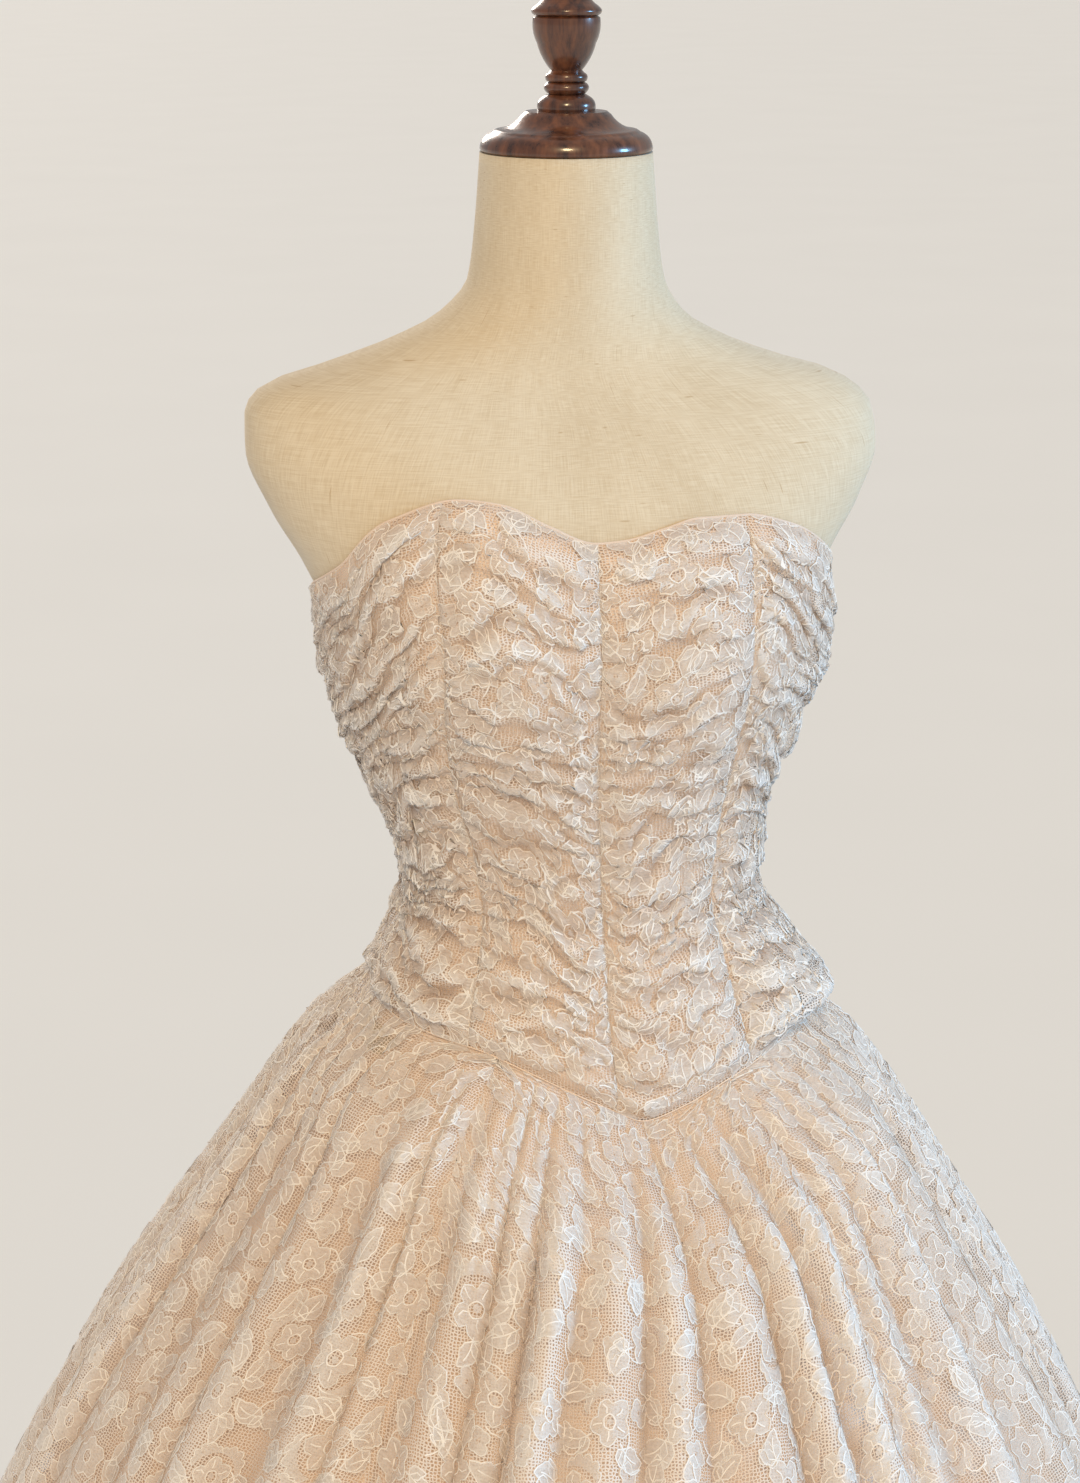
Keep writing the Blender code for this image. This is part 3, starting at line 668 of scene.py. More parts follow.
def ruching_lift(panel, across, rise, around):
    """How far the lace puffs out at the sides, and how far its folds stand out from that."""
    low, high = basque_height(around), neckline_height(around)
    height = low + (high - low) * rise
    radius = panel_radius(around, rise)
    width = np.radians(panel.end - panel.start) * radius
    from_seam = np.minimum(across, 1.0 - across) * width
    climb = panel.rise_low + (panel.rise_top - panel.rise_low) * eased(rise * 1.1)
    phase = panel.folds * rise + climb * (across - 0.5)
    phase = phase + 0.55 * drift(across * 1.3, rise * 6.5, panel.seed)
    phase = phase + panel.crumple * drift(across * 4.5, rise * 8.0, panel.seed + 1.0)
    fading = np.clip(0.55 + 0.62 * drift(across * 3.0, phase * 1.9, panel.seed + 3.0), 0.06, 1.15)
    tight = np.exp(-from_seam / GATHER_REACH) * eased(from_seam / 0.003)
    broad = eased(from_seam / FOLD_START)
    folds = broad * fading * panel.depth * MM * roll(phase, 0.55)
    split = 2.0 * phase + 0.5 * drift(across * 4.0, rise * 9.0, panel.seed + 5.0)
    folds = folds + broad * (1.0 - 0.7 * fading) * 0.5 * panel.depth * MM * roll(split, 0.6)
    gathers = tight * GATHER_DEPTH * roll(2.0 * phase + 0.3 * drift(across * 9.0, rise * 20.0, 1.0), 0.8)
    slant = rise * 26.0 + 2.0 * (across - 0.5) + drift(across * 5.0, rise * 9.0, panel.seed + 6.0)
    patches = np.clip(0.45 + 0.8 * drift(across * 4.0, rise * 12.0, panel.seed + 8.0), 0.0, 1.0)
    crumple = CRUMPLE_DEPTH * broad * patches * roll(slant, 0.8)
    swell = np.sin(np.pi * np.clip(across, 0.0, 1.0)) ** 0.7
    puff = PANEL_PUFF * swell
    for mound in PUFFS:
        puff = puff + swell * mound_rise(mound, around, height)
    edges = eased(rise / 0.045) * eased((1.0 - rise) / 0.04)
    return edges * puff, edges * (folds + gathers + crumple)


def lace_bodice_surface(panel):
    """The surface of one ruched panel, cut back at the zip."""
    start_gap = ZIP_OPENING if panel.start == -180.0 else 0.0
    end_gap = ZIP_OPENING if panel.end == 180.0 else 0.0

    def surface(across, along):
        rise = along
        seam = panel.start if panel.start == -180.0 else panel.end
        radius = panel_radius(np.full_like(rise, seam), rise)
        around = panel_around(panel, across, start_gap, end_gap, radius)
        puff, folds = ruching_lift(panel, across, rise, around)
        panel_height = neckline_height(around) - basque_height(around)
        sunk = np.clip(rise - SAG * folds / panel_height * eased(rise / 0.06), 0.0, 1.0)
        return bodice_point(around, sunk, lace_seam_lift(rise) + puff + folds)

    return surface


RUCHING_FULLNESS = 1.15
RUCHING_FOLDS = (9, 1.6)

lace_bodice = lay_panels(
    "lace_",
    BODICE_PANELS,
    lace_bodice_surface,
    LACE_BODICE_GRID,
    fullness_along=RUCHING_FULLNESS,
    folds=RUCHING_FOLDS,
)


# %% [markdown]
# ## The satin bodice
#
# The foundation panels fit closely and have no folds. Each lies between the same seams as its lace, with
# half a seam gap at each side.


# %% Satin bodice
def satin_bodice_surface(panel):
    """The plain fitted surface of one foundation panel."""

    def surface(across, along):
        radius = panel_radius(np.full_like(along, panel.start), along)
        around = panel_around(panel, across, 0.5 * SEAM_GAP, 0.5 * SEAM_GAP, radius)
        return bodice_point(around, along, satin_lift(along))

    return surface


satin_bodice = lay_panels("satin_", BODICE_PANELS, satin_bodice_surface, SATIN_BODICE_GRID)
for _, piece in satin_bodice.values():
    thicken(piece, SATIN_WALL, 1.0)


# %% [markdown]
# ## The skirts
#
# Both skirts leave the basque seam on the bodice's own outline and are let out to the skirt's level cuts
# a little way down. Folds are then added to that round shape. The lace starts in small gathers, which
# join into narrow ridges, some still split by a crease, and then into deep round folds. Those are
# deepest in front and grow towards the hem, and their sides swing out a little over the creases.


# %% Skirts
def skirt_point(around, along, top_lift, hem, inset, let_out_by, fold_by):
    """Points of a skirt, with along 0 at the hem and 1 at the basque seam."""
    top = bodice_point(around, np.zeros_like(around), np.full_like(around, top_lift))
    top_height = top[..., 2] - BASQUE_GAP
    height = top_height + (hem - top_height) * (1.0 - along) ** 1.4
    drop = top_height - height
    turned_round = around + seam_lean(around, top_height) * (1.0 - eased(drop / LEAN_DROP))
    top_middle = follow(TORSO, "sway", top_height)
    top_radius = np.hypot(top[..., 0] - top_middle, top[..., 1])
    full_radius = oval_radius(SKIRT, turned_round, height) - inset * eased(drop / 0.12)
    let_out = let_out_by(drop)
    radius = top_radius + (full_radius - top_radius) * let_out + fold_by(drop)
    middle = top_middle + (follow(SKIRT, "sway", height) - top_middle) * let_out
    angle = np.radians(turned_round)
    return np.stack([middle + radius * np.sin(angle), -radius * np.cos(angle), height], axis=-1)


def skirt_around(panel, across):
    """Degrees round the body at a share of a skirt panel's width. Skirt seams leave no gap."""
    return panel.start + (panel.end - panel.start) * across


def point_ease(around):
    """How much further the skirt drops before it is at full size, most under the basque's point."""
    return POINT_EASE * bell(apart(around, POINT_EASE_AROUND), POINT_EASE_SPREAD)


def fold_out(panel, across, folds, depth):
    """Uneven folds that sink into each seam."""
    wander = panel.shift * np.sin(2.0 * np.pi * across) * np.sin(np.pi * across)
    wave = 0.5 - 0.5 * np.cos(2.0 * np.pi * folds * across + wander * np.pi)
    uneven = 0.75 + 0.25 * np.cos(2.0 * np.pi * across * 1.5 + 4.0 * panel.shift)
    return depth * wave * uneven


FOLD_LOOP = 0.09  # how far a fold's sides swing out over the creases, as a share of its width
FOLD_HEIGHT = 11.0 * MM
FRONT_FOLD_HEIGHT = 9.0 * MM  # that the front folds have more
FOLD_GROWTH = 10.0 * MM  # that a fold gains for each metre down
DEEP_FOLDS_AROUND, DEEP_FOLDS_SPREAD = 22.0, 38.0  # degrees
SPLIT_HEIGHT, SPLIT_DROP = 7.0 * MM, 0.28  # of the crease that halves a fold, and how far down it dies away
SMALL_HEIGHT, GATHER_DROP = 3.2 * MM, 0.045  # the same of the small gathers at the seam


def ridge(phase):
    """Narrow round crests with broad valleys between them, one for each whole number of phase."""
    return (0.5 - 0.5 * np.cos(2.0 * np.pi * phase)) ** 2.2


def lace_skirt_surface(panel):
    """Lace that leaves the basque seam in small gathers, which join into deep round folds below."""
    span = panel.end - panel.start

    def surface(across, along):
        drop_share = (1.0 - along) ** 1.4
        wander = 0.55 * drift(across * 3.0, drop_share * 0.8, 5.0 * panel.shift)
        inside = eased(np.minimum(across, 1.0 - across) / 0.05)
        phase = 2.0 * panel.folds * across + wander * inside
        opening = eased(drop_share / 0.09)
        loop = FOLD_LOOP * opening * inside * np.sin(2.0 * np.pi * phase)
        around = skirt_around(panel, across) - loop * span / (2.0 * panel.folds)

        def let_out_by(drop):
            full_drop = LACE_FLARE_DROP + point_ease(around)
            return 1.0 - (1.0 - np.minimum(drop / full_drop, 1.0)) ** 2

        def fold_by(drop):
            depth = LACE_FOLD_DEPTH + (LACE_HEM_FOLD_DEPTH - LACE_FOLD_DEPTH) * drop
            main = fold_out(panel, across, panel.folds, depth) - 0.4 * depth
            fading = 0.72 + 0.28 * drift(across * 7.0, drop * 1.6, 3.0 * panel.shift)
            in_front = bell(apart(around, DEEP_FOLDS_AROUND), DEEP_FOLDS_SPREAD)
            deep = FOLD_HEIGHT + FRONT_FOLD_HEIGHT * in_front + FOLD_GROWTH * drop
            deep = deep * eased((drop + 0.01) / 0.09)
            second = deep * (inside * fading * ridge(phase) - 0.7)
            splits = np.clip(0.60 + 0.65 * drift(across * 6.0, drop * 2.2, 7.0 * panel.shift), 0.0, 1.1)
            halves = roll(2.0 * phase + 0.3 * wander, 0.9) * splits
            halves = halves * SPLIT_HEIGHT * np.exp(-drop / SPLIT_DROP) * eased(drop / 0.02)
            small = roll(5.0 * panel.folds * across + 0.4 * drift(across * 8.0, drop * 9.0, 2.0), 0.8)
            gathers = SMALL_HEIGHT * np.exp(-drop / GATHER_DROP) * small * eased(drop / 0.004)
            return 0.8 * main * eased(drop / 0.08) + second + inside * (halves + gathers)

        return skirt_point(around, along, lace_seam_lift(0.0), LACE_HEM_HEIGHT, 0.0, let_out_by, fold_by)

    return surface


GATHER_FULLNESS = (1.0, 1.15)  # at the hem and at the basque seam
SKIRT_FOLDS = (14, 7.0)

lace_skirt = lay_panels(
    "lace_skirt_",
    SKIRT_PANELS,
    lace_skirt_surface,
    LACE_SKIRT_GRID,
    fullness_across=GATHER_FULLNESS,
    folds=SKIRT_FOLDS,
)


def satin_skirt_surface(panel):
    """A flared skirt with a few shallow folds, a little smaller than the lace one."""

    def surface(across, along):
        around = skirt_around(panel, across)

        def let_out_by(drop):
            return eased(drop / (SATIN_FLARE_DROP + point_ease(around)))

        def fold_by(drop):
            depth = SATIN_FOLD_DEPTH + (SATIN_HEM_FOLD_DEPTH - SATIN_FOLD_DEPTH) * drop
            fold = fold_out(panel, across, SATIN_FOLDS, depth) - 0.5 * depth
            return fold * eased(drop / 0.10)

        top_lift = satin_lift(0.0) + SATIN_WALL
        return skirt_point(around, along, top_lift, SATIN_HEM_HEIGHT, SATIN_INSET, let_out_by, fold_by)

    return surface


satin_skirt = lay_panels("satin_skirt_", SKIRT_PANELS, satin_skirt_surface, SATIN_SKIRT_GRID)
for _, piece in satin_skirt.values():
    thicken(piece, SATIN_WALL, -1.0)

# %% [markdown]
# ## Mixing the finishes
#
# Every finish is a Principled shader with a little node tree in front of it. Most of them need the same
# few steps: find the place on the cloth, make a pattern, and send it to the colour, the roughness or a
# bump. So these steps get short helpers. Patterns on cloth read the UV map in metres, so a scale is
# simply one over the size of the thing: threads 0.4 mm apart are a wave with 2,500 to the metre.


# %% Node helpers
class Finish:
    """A material with helpers that add nodes in front of its Principled shader."""

    def __init__(self, name, colour, roughness, **sockets):
        self.material = bpy.data.materials.new(name)
        self.material.use_nodes = True
        self.tree = self.material.node_tree
        self.shader = self.tree.nodes["Principled BSDF"]
        self.shader.inputs["Base Color"].default_value = (*colour, 1.0)
        self.shader.inputs["Roughness"].default_value = roughness
        for socket, value in sockets.items():
            self.shader.inputs[socket.replace("_", " ")].default_value = value

    def node(self, kind, inputs=None, **settings):
        made = self.tree.nodes.new("ShaderNode" + kind)
        for name, value in settings.items():
            setattr(made, name, value)
        for socket, value in (inputs or {}).items():
            if isinstance(value, bpy.types.NodeSocket):
                self.tree.links.new(value, made.inputs[socket])
            else:
                made.inputs[socket].default_value = value
        return made

    def on_cloth(self, scale, turn=0.0):
        """Places on the flat cut, scaled and turned."""
        place = self.node("UVMap", uv_map="cloth").outputs["UV"]
        inputs = {"Vector": place, "Rotation": (0.0, 0.0, turn), "Scale": (*scale, 1.0)}
        return self.node("Mapping", inputs).outputs["Vector"]

    def noise(self, place, detail, roughness):
        inputs = {"Vector": place, "Scale": 1.0, "Detail": detail, "Roughness": roughness}
        return self.node("TexNoise", inputs).outputs["Fac"]

    def cloth_noise(self, across, up, detail=2.0, roughness=0.5):
        """Noise on the flat cut, with so many patches to the metre across and up."""
        return self.noise(self.on_cloth((across, up)), detail, roughness)

    def solid_noise(self, x, y, z, detail=2.0, roughness=0.5):
        """Noise through the piece, with so many patches to the metre each way."""
        place = self.node("TexCoord").outputs["Object"]
        place = self.node("Mapping", {"Vector": place, "Scale": (x, y, z)}).outputs["Vector"]
        return self.noise(place, detail, roughness)

    def maths(self, operation, first, second=0.0):
        made = self.node("Math", {0: first, 1: second}, operation=operation)
        return made.outputs[0]

    def between(self, value, low, high, to_low=0.0, to_high=1.0):
        """Stretch a value so that low and high land on to_low and to_high."""
        inputs = {"Value": value, "From Min": low, "From Max": high}
        inputs.update({"To Min": to_low, "To Max": to_high})
        return self.node("MapRange", inputs).outputs["Result"]

    def colours(self, amount, one, other):
        """Mix two colours, each a value or another node's output, by an amount from 0 to 1."""
        inputs = {"Factor": amount}
        for socket, colour in ((6, one), (7, other)):
            inputs[socket] = colour if isinstance(colour, bpy.types.NodeSocket) else (*colour, 1.0)
        return self.node("Mix", inputs, data_type="RGBA").outputs[2]

    def threads(self, spacing, turn):
        """A ridge for each thread: 0.5 on its middle and 0 between two."""
        place = self.on_cloth((1.0 / spacing, 1.0 / spacing), turn)
        across = self.node("SeparateXYZ", {"Vector": place}).outputs["X"]
        return self.maths("PINGPONG", across, 0.5)

    def take(self, socket, output):
        """Let a node's output set the shader's colour, roughness or alpha."""
        self.tree.links.new(output, self.shader.inputs[socket])

    def bump_from(self, output, height, strength=1.0):
        inputs = {"Height": output, "Distance": height, "Strength": strength}
        bump = self.node("Bump", inputs)
        self.tree.links.new(bump.outputs["Normal"], self.shader.inputs["Normal"])


# %% [markdown]
# ## Satin, net and flowers
#
# Satin is smooth because its warp threads float over many weft threads, so it has a soft broad shine
# and a hint of fine lines. The net is mostly holes: thin threads run round small uneven cells, and all
# the rest is clear. The petals are woven closely enough to hide about half of what is under them, and
# the cords round them are thick and pale. Lace lies double in a crease and on a steep fold, so all three
# are denser there. All three also have shade painted into their colour, darker down in a crease, and a
# painted highlight, paler up on a fold.

# %% Finishes for the cloths
PEACH = (0.96, 0.79, 0.65)
DEEP_PEACH = (0.93, 0.73, 0.58)
NET_SPACING = 2.5 * MM
NET_THREAD = 0.115  # half a thread's width, as a share of the spacing


def painted_crease_shade_and_fold_highlight(finish, crease, halfway, fold):
    """Paint shade into a finish's colour in the creases, where lace lies double, and a highlight on the
    folds.

    What comes back is 0 on level cloth and 1 on a full fold or in a full crease.
    """
    relief = finish.node("Attribute", attribute_name="relief").outputs["Fac"]
    # painted shade: below level cloth the colour darkens towards the crease colour
    low = finish.colours(finish.between(relief, -1.0, 0.0), crease, halfway)
    # painted highlight: above level cloth the colour pales towards the fold colour
    finish.take("Base Color", finish.colours(finish.between(relief, 0.0, 1.0), low, fold))
    return finish.maths("MULTIPLY", relief, relief)


def satin_finish(name, deep, pale):
    """Satin whose colour clouds a little between two tones."""
    satin = Finish(name, pale, 0.42, Sheen_Weight=0.35, Sheen_Roughness=0.4, Specular_IOR_Level=0.45)
    satin.shader.inputs["Sheen Tint"].default_value = (1.0, 0.86, 0.74, 1.0)
    cloudy = satin.cloth_noise(9.0, 6.0, 3.0)
    satin.take("Base Color", satin.colours(cloudy, deep, pale))
    floats = satin.cloth_noise(2600.0, 260.0, 1.0)
    satin.take("Roughness", satin.between(floats, 0.3, 0.7, 0.36, 0.50))
    satin.bump_from(floats, 0.06 * MM, 0.5)
    return satin.material


def net_finish():
    """Net that is clear between its threads."""
    net = Finish("lace_net", (0.86, 0.70, 0.58), 0.75, Sheen_Weight=0.3, Sheen_Roughness=0.5)
    # the first colour is painted shade for the creases and the last a painted highlight for the folds
    folded = painted_crease_shade_and_fold_highlight(net, (0.48, 0.36, 0.29), (0.84, 0.72, 0.63), (0.91, 0.85, 0.81))
    place = net.on_cloth((1.0 / NET_SPACING, 1.25 / NET_SPACING))
    holes = net.node(
        "TexVoronoi",
        {"Vector": place, "Scale": 1.0, "Randomness": 0.55},
        feature="DISTANCE_TO_EDGE",
        voronoi_dimensions="2D",
    )
    edge = net.between(folded, 0.0, 1.0, NET_THREAD, 2.0 * NET_THREAD)
    strand = net.between(net.maths("SUBTRACT", holes.outputs["Distance"], edge), 0.0, 0.05, 0.9, 0.0)
    net.take("Alpha", strand)
    return net.material


def woven_finish():
    """The close weave inside the petals and leaves, thinner in patches."""
    woven = Finish("lace_woven", (0.86, 0.74, 0.65), 0.70, Sheen_Weight=0.4, Sheen_Roughness=0.45)
    thread = woven.threads(0.7 * MM, 0.5 * math.pi)
    uneven = woven.cloth_noise(260.0, 520.0, 2.0)
    patchy = woven.cloth_noise(42.0, 42.0, 1.0)
    # the first colour is painted shade for the creases and the last a painted highlight for the folds
    folded = painted_crease_shade_and_fold_highlight(woven, (0.66, 0.54, 0.46), (0.87, 0.79, 0.73), (0.93, 0.90, 0.88))
    woven.bump_from(woven.maths("ADD", thread, uneven), 0.25 * MM, 0.7)
    thin = woven.between(patchy, 0.35, 0.65, 0.40, 0.56)
    thick = woven.maths("ADD", woven.between(uneven, 0.30, 0.66, -0.14, 0.16), thin)
    woven.take("Alpha", woven.maths("ADD", thick, woven.maths("MULTIPLY", folded, 0.18)))
    return woven.material


def cord_finish():
    """The twisted cord laid round the petals and leaves."""
    cord = Finish("lace_cord", (0.95, 0.89, 0.82), 0.55, Sheen_Weight=0.4, Sheen_Roughness=0.4)
    # the first colour is painted shade for the creases and the last a painted highlight for the folds
    folded = painted_crease_shade_and_fold_highlight(cord, (0.80, 0.67, 0.58), (0.95, 0.90, 0.84), (0.97, 0.95, 0.94))
    twist = cord.cloth_noise(1500.0, 1500.0, 1.0)
    cord.bump_from(twist, 0.12 * MM, 0.6)
    patchy = cord.cloth_noise(90.0, 90.0, 1.0)
    thick = cord.between(patchy, 0.30, 0.60, 0.70, 1.0)
    thick = cord.maths("ADD", thick, cord.maths("MULTIPLY", folded, 0.3))
    cord.take("Alpha", cord.maths("MINIMUM", thick, 1.0))
    return cord.material


peach_satin, lace_net = satin_finish("peach_satin", DEEP_PEACH, PEACH), net_finish()
blush_piping = satin_finish("blush_piping", (0.84, 0.68, 0.57), (0.90, 0.78, 0.69))
lace_woven, lace_cord = woven_finish(), cord_finish()
print("the net's holes are", round(NET_SPACING / MM, 1), "mm apart")

# %% [markdown]
# ## The lace flowers
#
# This lace is a fine net with flowers worked on it: close-woven petals and leaves, each with a raised
# cord laid round its edge. A pattern painted by a shader would stay flat, so the flowers are modelled.
# Ordinary garden shapes are drawn flat, in millimetres: an open five-petalled flower, a crescent of
# scallops that lies round it, small flowers, and sprays of leaves. Six different bunches of them, each
# drawn both finely and plainly, are then laid all over each panel in half-dropped rows. Each is turned
# its own way, because an all-over lace shows no top or bottom.

# %% Drawing cords and petals on the flat
BUNCH_SPACING = 55.0  # mm between bunches in a row
ROW_SPACING = 46.0  # mm between rows, where every second row is shifted by half a bunch
CORD_WIDTH, CORD_RISE, PETAL_RISE, PETAL_FOOT = 0.90, 0.50, 0.45, 0.15  # mm
SMALL_FLOWER = 11.0  # mm of radius, under which a flower has no ring, heart or veins
WOVEN, CORDED = 0, 1  # the slots of the two finishes


def grid_on(shape, columns, rows, place, kind):
    """Add a grid to a bmesh, each corner set by place(column, row)."""
    made = bmesh.ops.create_grid(shape, x_segments=columns, y_segments=rows, size=0.5)["verts"]
    for vert in made:
        column, row = round((vert.co.x + 0.5) * columns), round((vert.co.y + 0.5) * rows)
        vert.co = place(column, row)
    for face in {face for vert in made for face in vert.link_faces}:
        face.material_index = kind


def cord_along(shape, path, fine, closed=False):
    """A raised cord along a flat path. The fine one has a ridge and the plain one is a flat strip."""
    path = np.asarray(path)
    if closed:
        ways = np.roll(path[:-1], -1, axis=0) - np.roll(path[:-1], 1, axis=0)
        ways = np.vstack([ways, ways[:1]])
    else:
        ways = np.gradient(path, axis=0)
    sides = np.stack([-ways[:, 1], ways[:, 0]], -1)
    sides *= 0.5 * CORD_WIDTH / np.linalg.norm(sides, axis=1, keepdims=True)
    rows = 2 if fine else 1

    def place(column, row):
        across = 2.0 * row / rows - 1.0
        x, y = path[column] + across * sides[column]
        rise = CORD_RISE * (1.0 - across * across) if fine else 0.6 * CORD_RISE
        return Vector((x, y, PETAL_RISE * 0.4 + rise))

    grid_on(shape, len(path) - 1, rows, place, CORDED)


def heading(angle):
    """A step of one millimetre in a direction, or a row of them."""
    return np.stack([np.cos(angle), np.sin(angle)], -1)


def petalled(centre, radius, lobes, cleft, turn, steps, dice):
    """A closed outline of petals: cleft is how far in it goes between them, as a share of the radius."""
    angles = np.linspace(0.0, 2.0 * np.pi, steps + 1)
    petals = np.abs(np.cos(0.5 * lobes * (angles - turn))) ** 0.7
    scallops = np.abs(np.cos(1.5 * lobes * (angles - turn)))
    first, second = dice.uniform(0.0, 2.0 * np.pi, 2)
    uneven = 1.0 + 0.08 * np.sin(angles + first) + 0.08 * np.sin(2.0 * angles + second)
    reach = radius * (0.92 - cleft + cleft * petals + 0.08 * scallops) * uneven
    return centre + reach[:, None] * heading(angles)


def woven_ring(shape, outer, inner):
    """Close-woven petals between two rings. The inner one may have fewer corners."""
    inner = inner[np.round(np.linspace(0, len(inner) - 1, len(outer))).astype(int)]
    grid_on(
        shape,
        len(outer) - 1,
        1,
        lambda column, row: Vector((*(inner, outer)[row][column], PETAL_FOOT)),
        WOVEN,
    )


def wandering(foot, bearings, length):
    """A path from foot that takes its steps along the bearings."""
    steps = length / (len(bearings) - 1) * heading(bearings[1:])
    return foot + np.vstack([[0.0, 0.0], np.cumsum(steps, axis=0)])


def flower(shape, centre, radius, dice, fine):
    """An open flower: five cleft petals round a ring of bare net, with a small worked heart."""
    turn = dice.uniform(0.0, 2.0 * np.pi)
    small = radius < SMALL_FLOWER
    petals = int(dice.integers(4, 6)) if small else 5
    steps = {(True, True): 18, (True, False): 10, (False, True): 30, (False, False): 15}[small, fine]
    outer = petalled(centre, radius, petals, 0.42, turn, steps, dice)
    hole = centre + 0.05 * radius * heading(turn)
    inner = petalled(hole, (0.16 if small else 0.30) * radius, petals, 0.15, turn + 0.6, steps // 2, dice)
    woven_ring(shape, outer, inner)
    cord_along(shape, outer, fine, closed=True)
    if small:
        return
    cord_along(shape, inner, False, closed=True)
    if not fine:
        return
    core = petalled(centre, 0.15 * radius, 3, 0.2, turn, 9, dice)
    woven_ring(shape, core, centre + 0.1 * (core - centre))
    for petal in range(5):
        angle = turn + petal * 0.4 * np.pi
        way = radius * heading(angle)
        bend = np.array([way[1], -way[0]]) * dice.uniform(-0.12, 0.12)
        cord_along(shape, [centre + 0.36 * way, centre + 0.56 * way + bend, centre + 0.78 * way], False)


def crescent(shape, centre, radius, middle, sweep, fine):
    """A crescent of woven scallops that lies round a flower."""
    steps = 20 if fine else 10
    share = np.linspace(0.0, 1.0, steps + 1)
    angles = middle + sweep * (share - 0.5)
    swell = np.sin(np.pi * share) ** 0.6
    bumps = 0.66 + 0.34 * np.abs(np.sin(5.0 * np.pi * share))
    near = centre + heading(angles) * radius * 1.10
    far = centre + heading(angles) * (radius * (1.10 + 0.58 * swell * bumps))[:, None]

    def place(column, row):
        x, y = (near, 0.5 * (near + far), far)[row][column]
        return Vector((x, y, PETAL_FOOT + (PETAL_RISE if row == 1 else 0.0)))

    grid_on(shape, steps, 2, place, WOVEN)
    cord_along(shape, far, fine)


def leaf(shape, foot, angle, length, half_width, curl, fine):
    """A leaf with corded, softly scalloped edges and a sunk midrib."""
    steps = 7 if fine else 4
    rows = 2 if fine else 1
    share = np.linspace(0.0, 1.0, steps + 1)
    bearing = angle + curl * share
    rib = wandering(foot, bearing, length)
    sides = heading(bearing + 0.5 * np.pi)
    scallop = 0.74 + 0.42 * np.abs(np.sin(3.0 * np.pi * share))
    spread = (half_width * np.sin(np.pi * share**0.7) ** 0.9 * scallop)[:, None]
    edges = [rib - sides * spread, rib, rib + sides * spread]

    def place(column, row):
        x, y = edges[row * 2 // rows][column]
        return Vector((x, y, PETAL_FOOT + (0.0 if 0 < row < rows else 0.8 * PETAL_RISE)))

    grid_on(shape, steps, rows, place, WOVEN)
    cord_along(shape, edges[0], False)
    cord_along(shape, edges[2], False)
    if fine and length > 17.0:
        cord_along(shape, rib[1:-2], False)


def spray(shape, foot, angle, dice, fine):
    """One large bowed leaf on a short stem, with a small leaf at its side."""
    side = dice.choice((-1.0, 1.0))
    stem = dice.uniform(1.0, 4.0)
    start = foot + stem * heading(angle)
    length = dice.uniform(17.0, 27.0)
    leaf(shape, start, angle, length, dice.uniform(5.5, 8.0), side * dice.uniform(0.3, 1.4), fine)
    way = angle - side * dice.uniform(0.9, 1.2)
    length = dice.uniform(10.0, 17.0)
    leaf(shape, start, way, length, dice.uniform(0.24, 0.36) * length, 0.7 * side, fine)
    if fine:
        cord_along(shape, [foot, start], False)


def trail(shape, foot, angle, dice, fine):
    """A long thin stem that wanders off between the leaves towards the next bunch."""
    steps = 8 if fine else 4
    share = np.linspace(0.0, 1.0, steps + 1)
    bearing = angle + dice.choice((-1.0, 1.0)) * (1.3 * np.sin(1.5 * np.pi * share) + 0.4)
    cord_along(shape, wandering(foot, bearing, dice.uniform(30.0, 42.0)), False)


class Bunch(NamedTuple):
    radius: float  # of its main flower, in mm
    small: int
    crescents: int
    sprays: int


BUNCHES = [
    Bunch(16.0, 0, 1, 3),
    Bunch(15.0, 1, 1, 2),
    Bunch(18.0, 0, 1, 3),
    Bunch(12.0, 2, 0, 3),
    Bunch(14.0, 0, 2, 3),
    Bunch(16.5, 1, 0, 3),
]


def draw_bunch(number, fine):
    """One bunch: a flower with leaves, crescents and small flowers set round it."""
    dice = np.random.default_rng(40 + number)
    bunch = BUNCHES[number]
    shape = bmesh.new()
    centre = np.zeros(2)
    flower(shape, centre, bunch.radius, dice, fine)
    kinds = ["small"] * bunch.small + ["crescent"] * bunch.crescents + ["spray"] * bunch.sprays
    dice.shuffle(kinds)
    for slot, kind in enumerate(kinds):
        angle = 2.0 * np.pi * (slot + dice.uniform(-0.10, 0.10)) / len(kinds)
        if kind == "crescent":
            crescent(shape, centre, bunch.radius, angle, dice.uniform(1.3, 1.7), fine)
        elif kind == "small":
            radius = dice.uniform(7.5, 9.5)
            flower(shape, centre + (bunch.radius + radius + 1.0) * heading(angle), radius, dice, fine)
        else:
            spray(shape, centre + 0.94 * bunch.radius * heading(angle), angle, dice, fine)
    first = int(dice.integers(len(kinds)))
    for slot in (first, first + 2):
        between = 2.0 * np.pi * (slot + 0.5) / len(kinds)
        trail(shape, centre + bunch.radius * heading(between), between, dice, fine)
    bmesh.ops.scale(shape, vec=(MM, MM, MM), verts=shape.verts)
    return mesh_of("bunch", shape)


sprigs = {fine: [draw_bunch(number, fine) for number in range(len(BUNCHES))] for fine in (True, False)}
for fine, drawings in sprigs.items():
    faces = [2 * len(mesh.polygons) for mesh in drawings]
    print("a", "fine" if fine else "plain", "bunch has", faces, "triangles")

# %% [markdown]
# ## Laying the flowers on the panels
#
# A panel's flowers are joined into one mesh while they are still flat. Every corner then goes through
# the panel's own two steps, from the flat cut to the panel and from the panel to space, so the flowers
# bend over each fold as worked lace does. Flowers that cross an edge are cut off there. The lower skirt
# takes the plain drawings, because a shape that is repeated hundreds of times has to stay light.

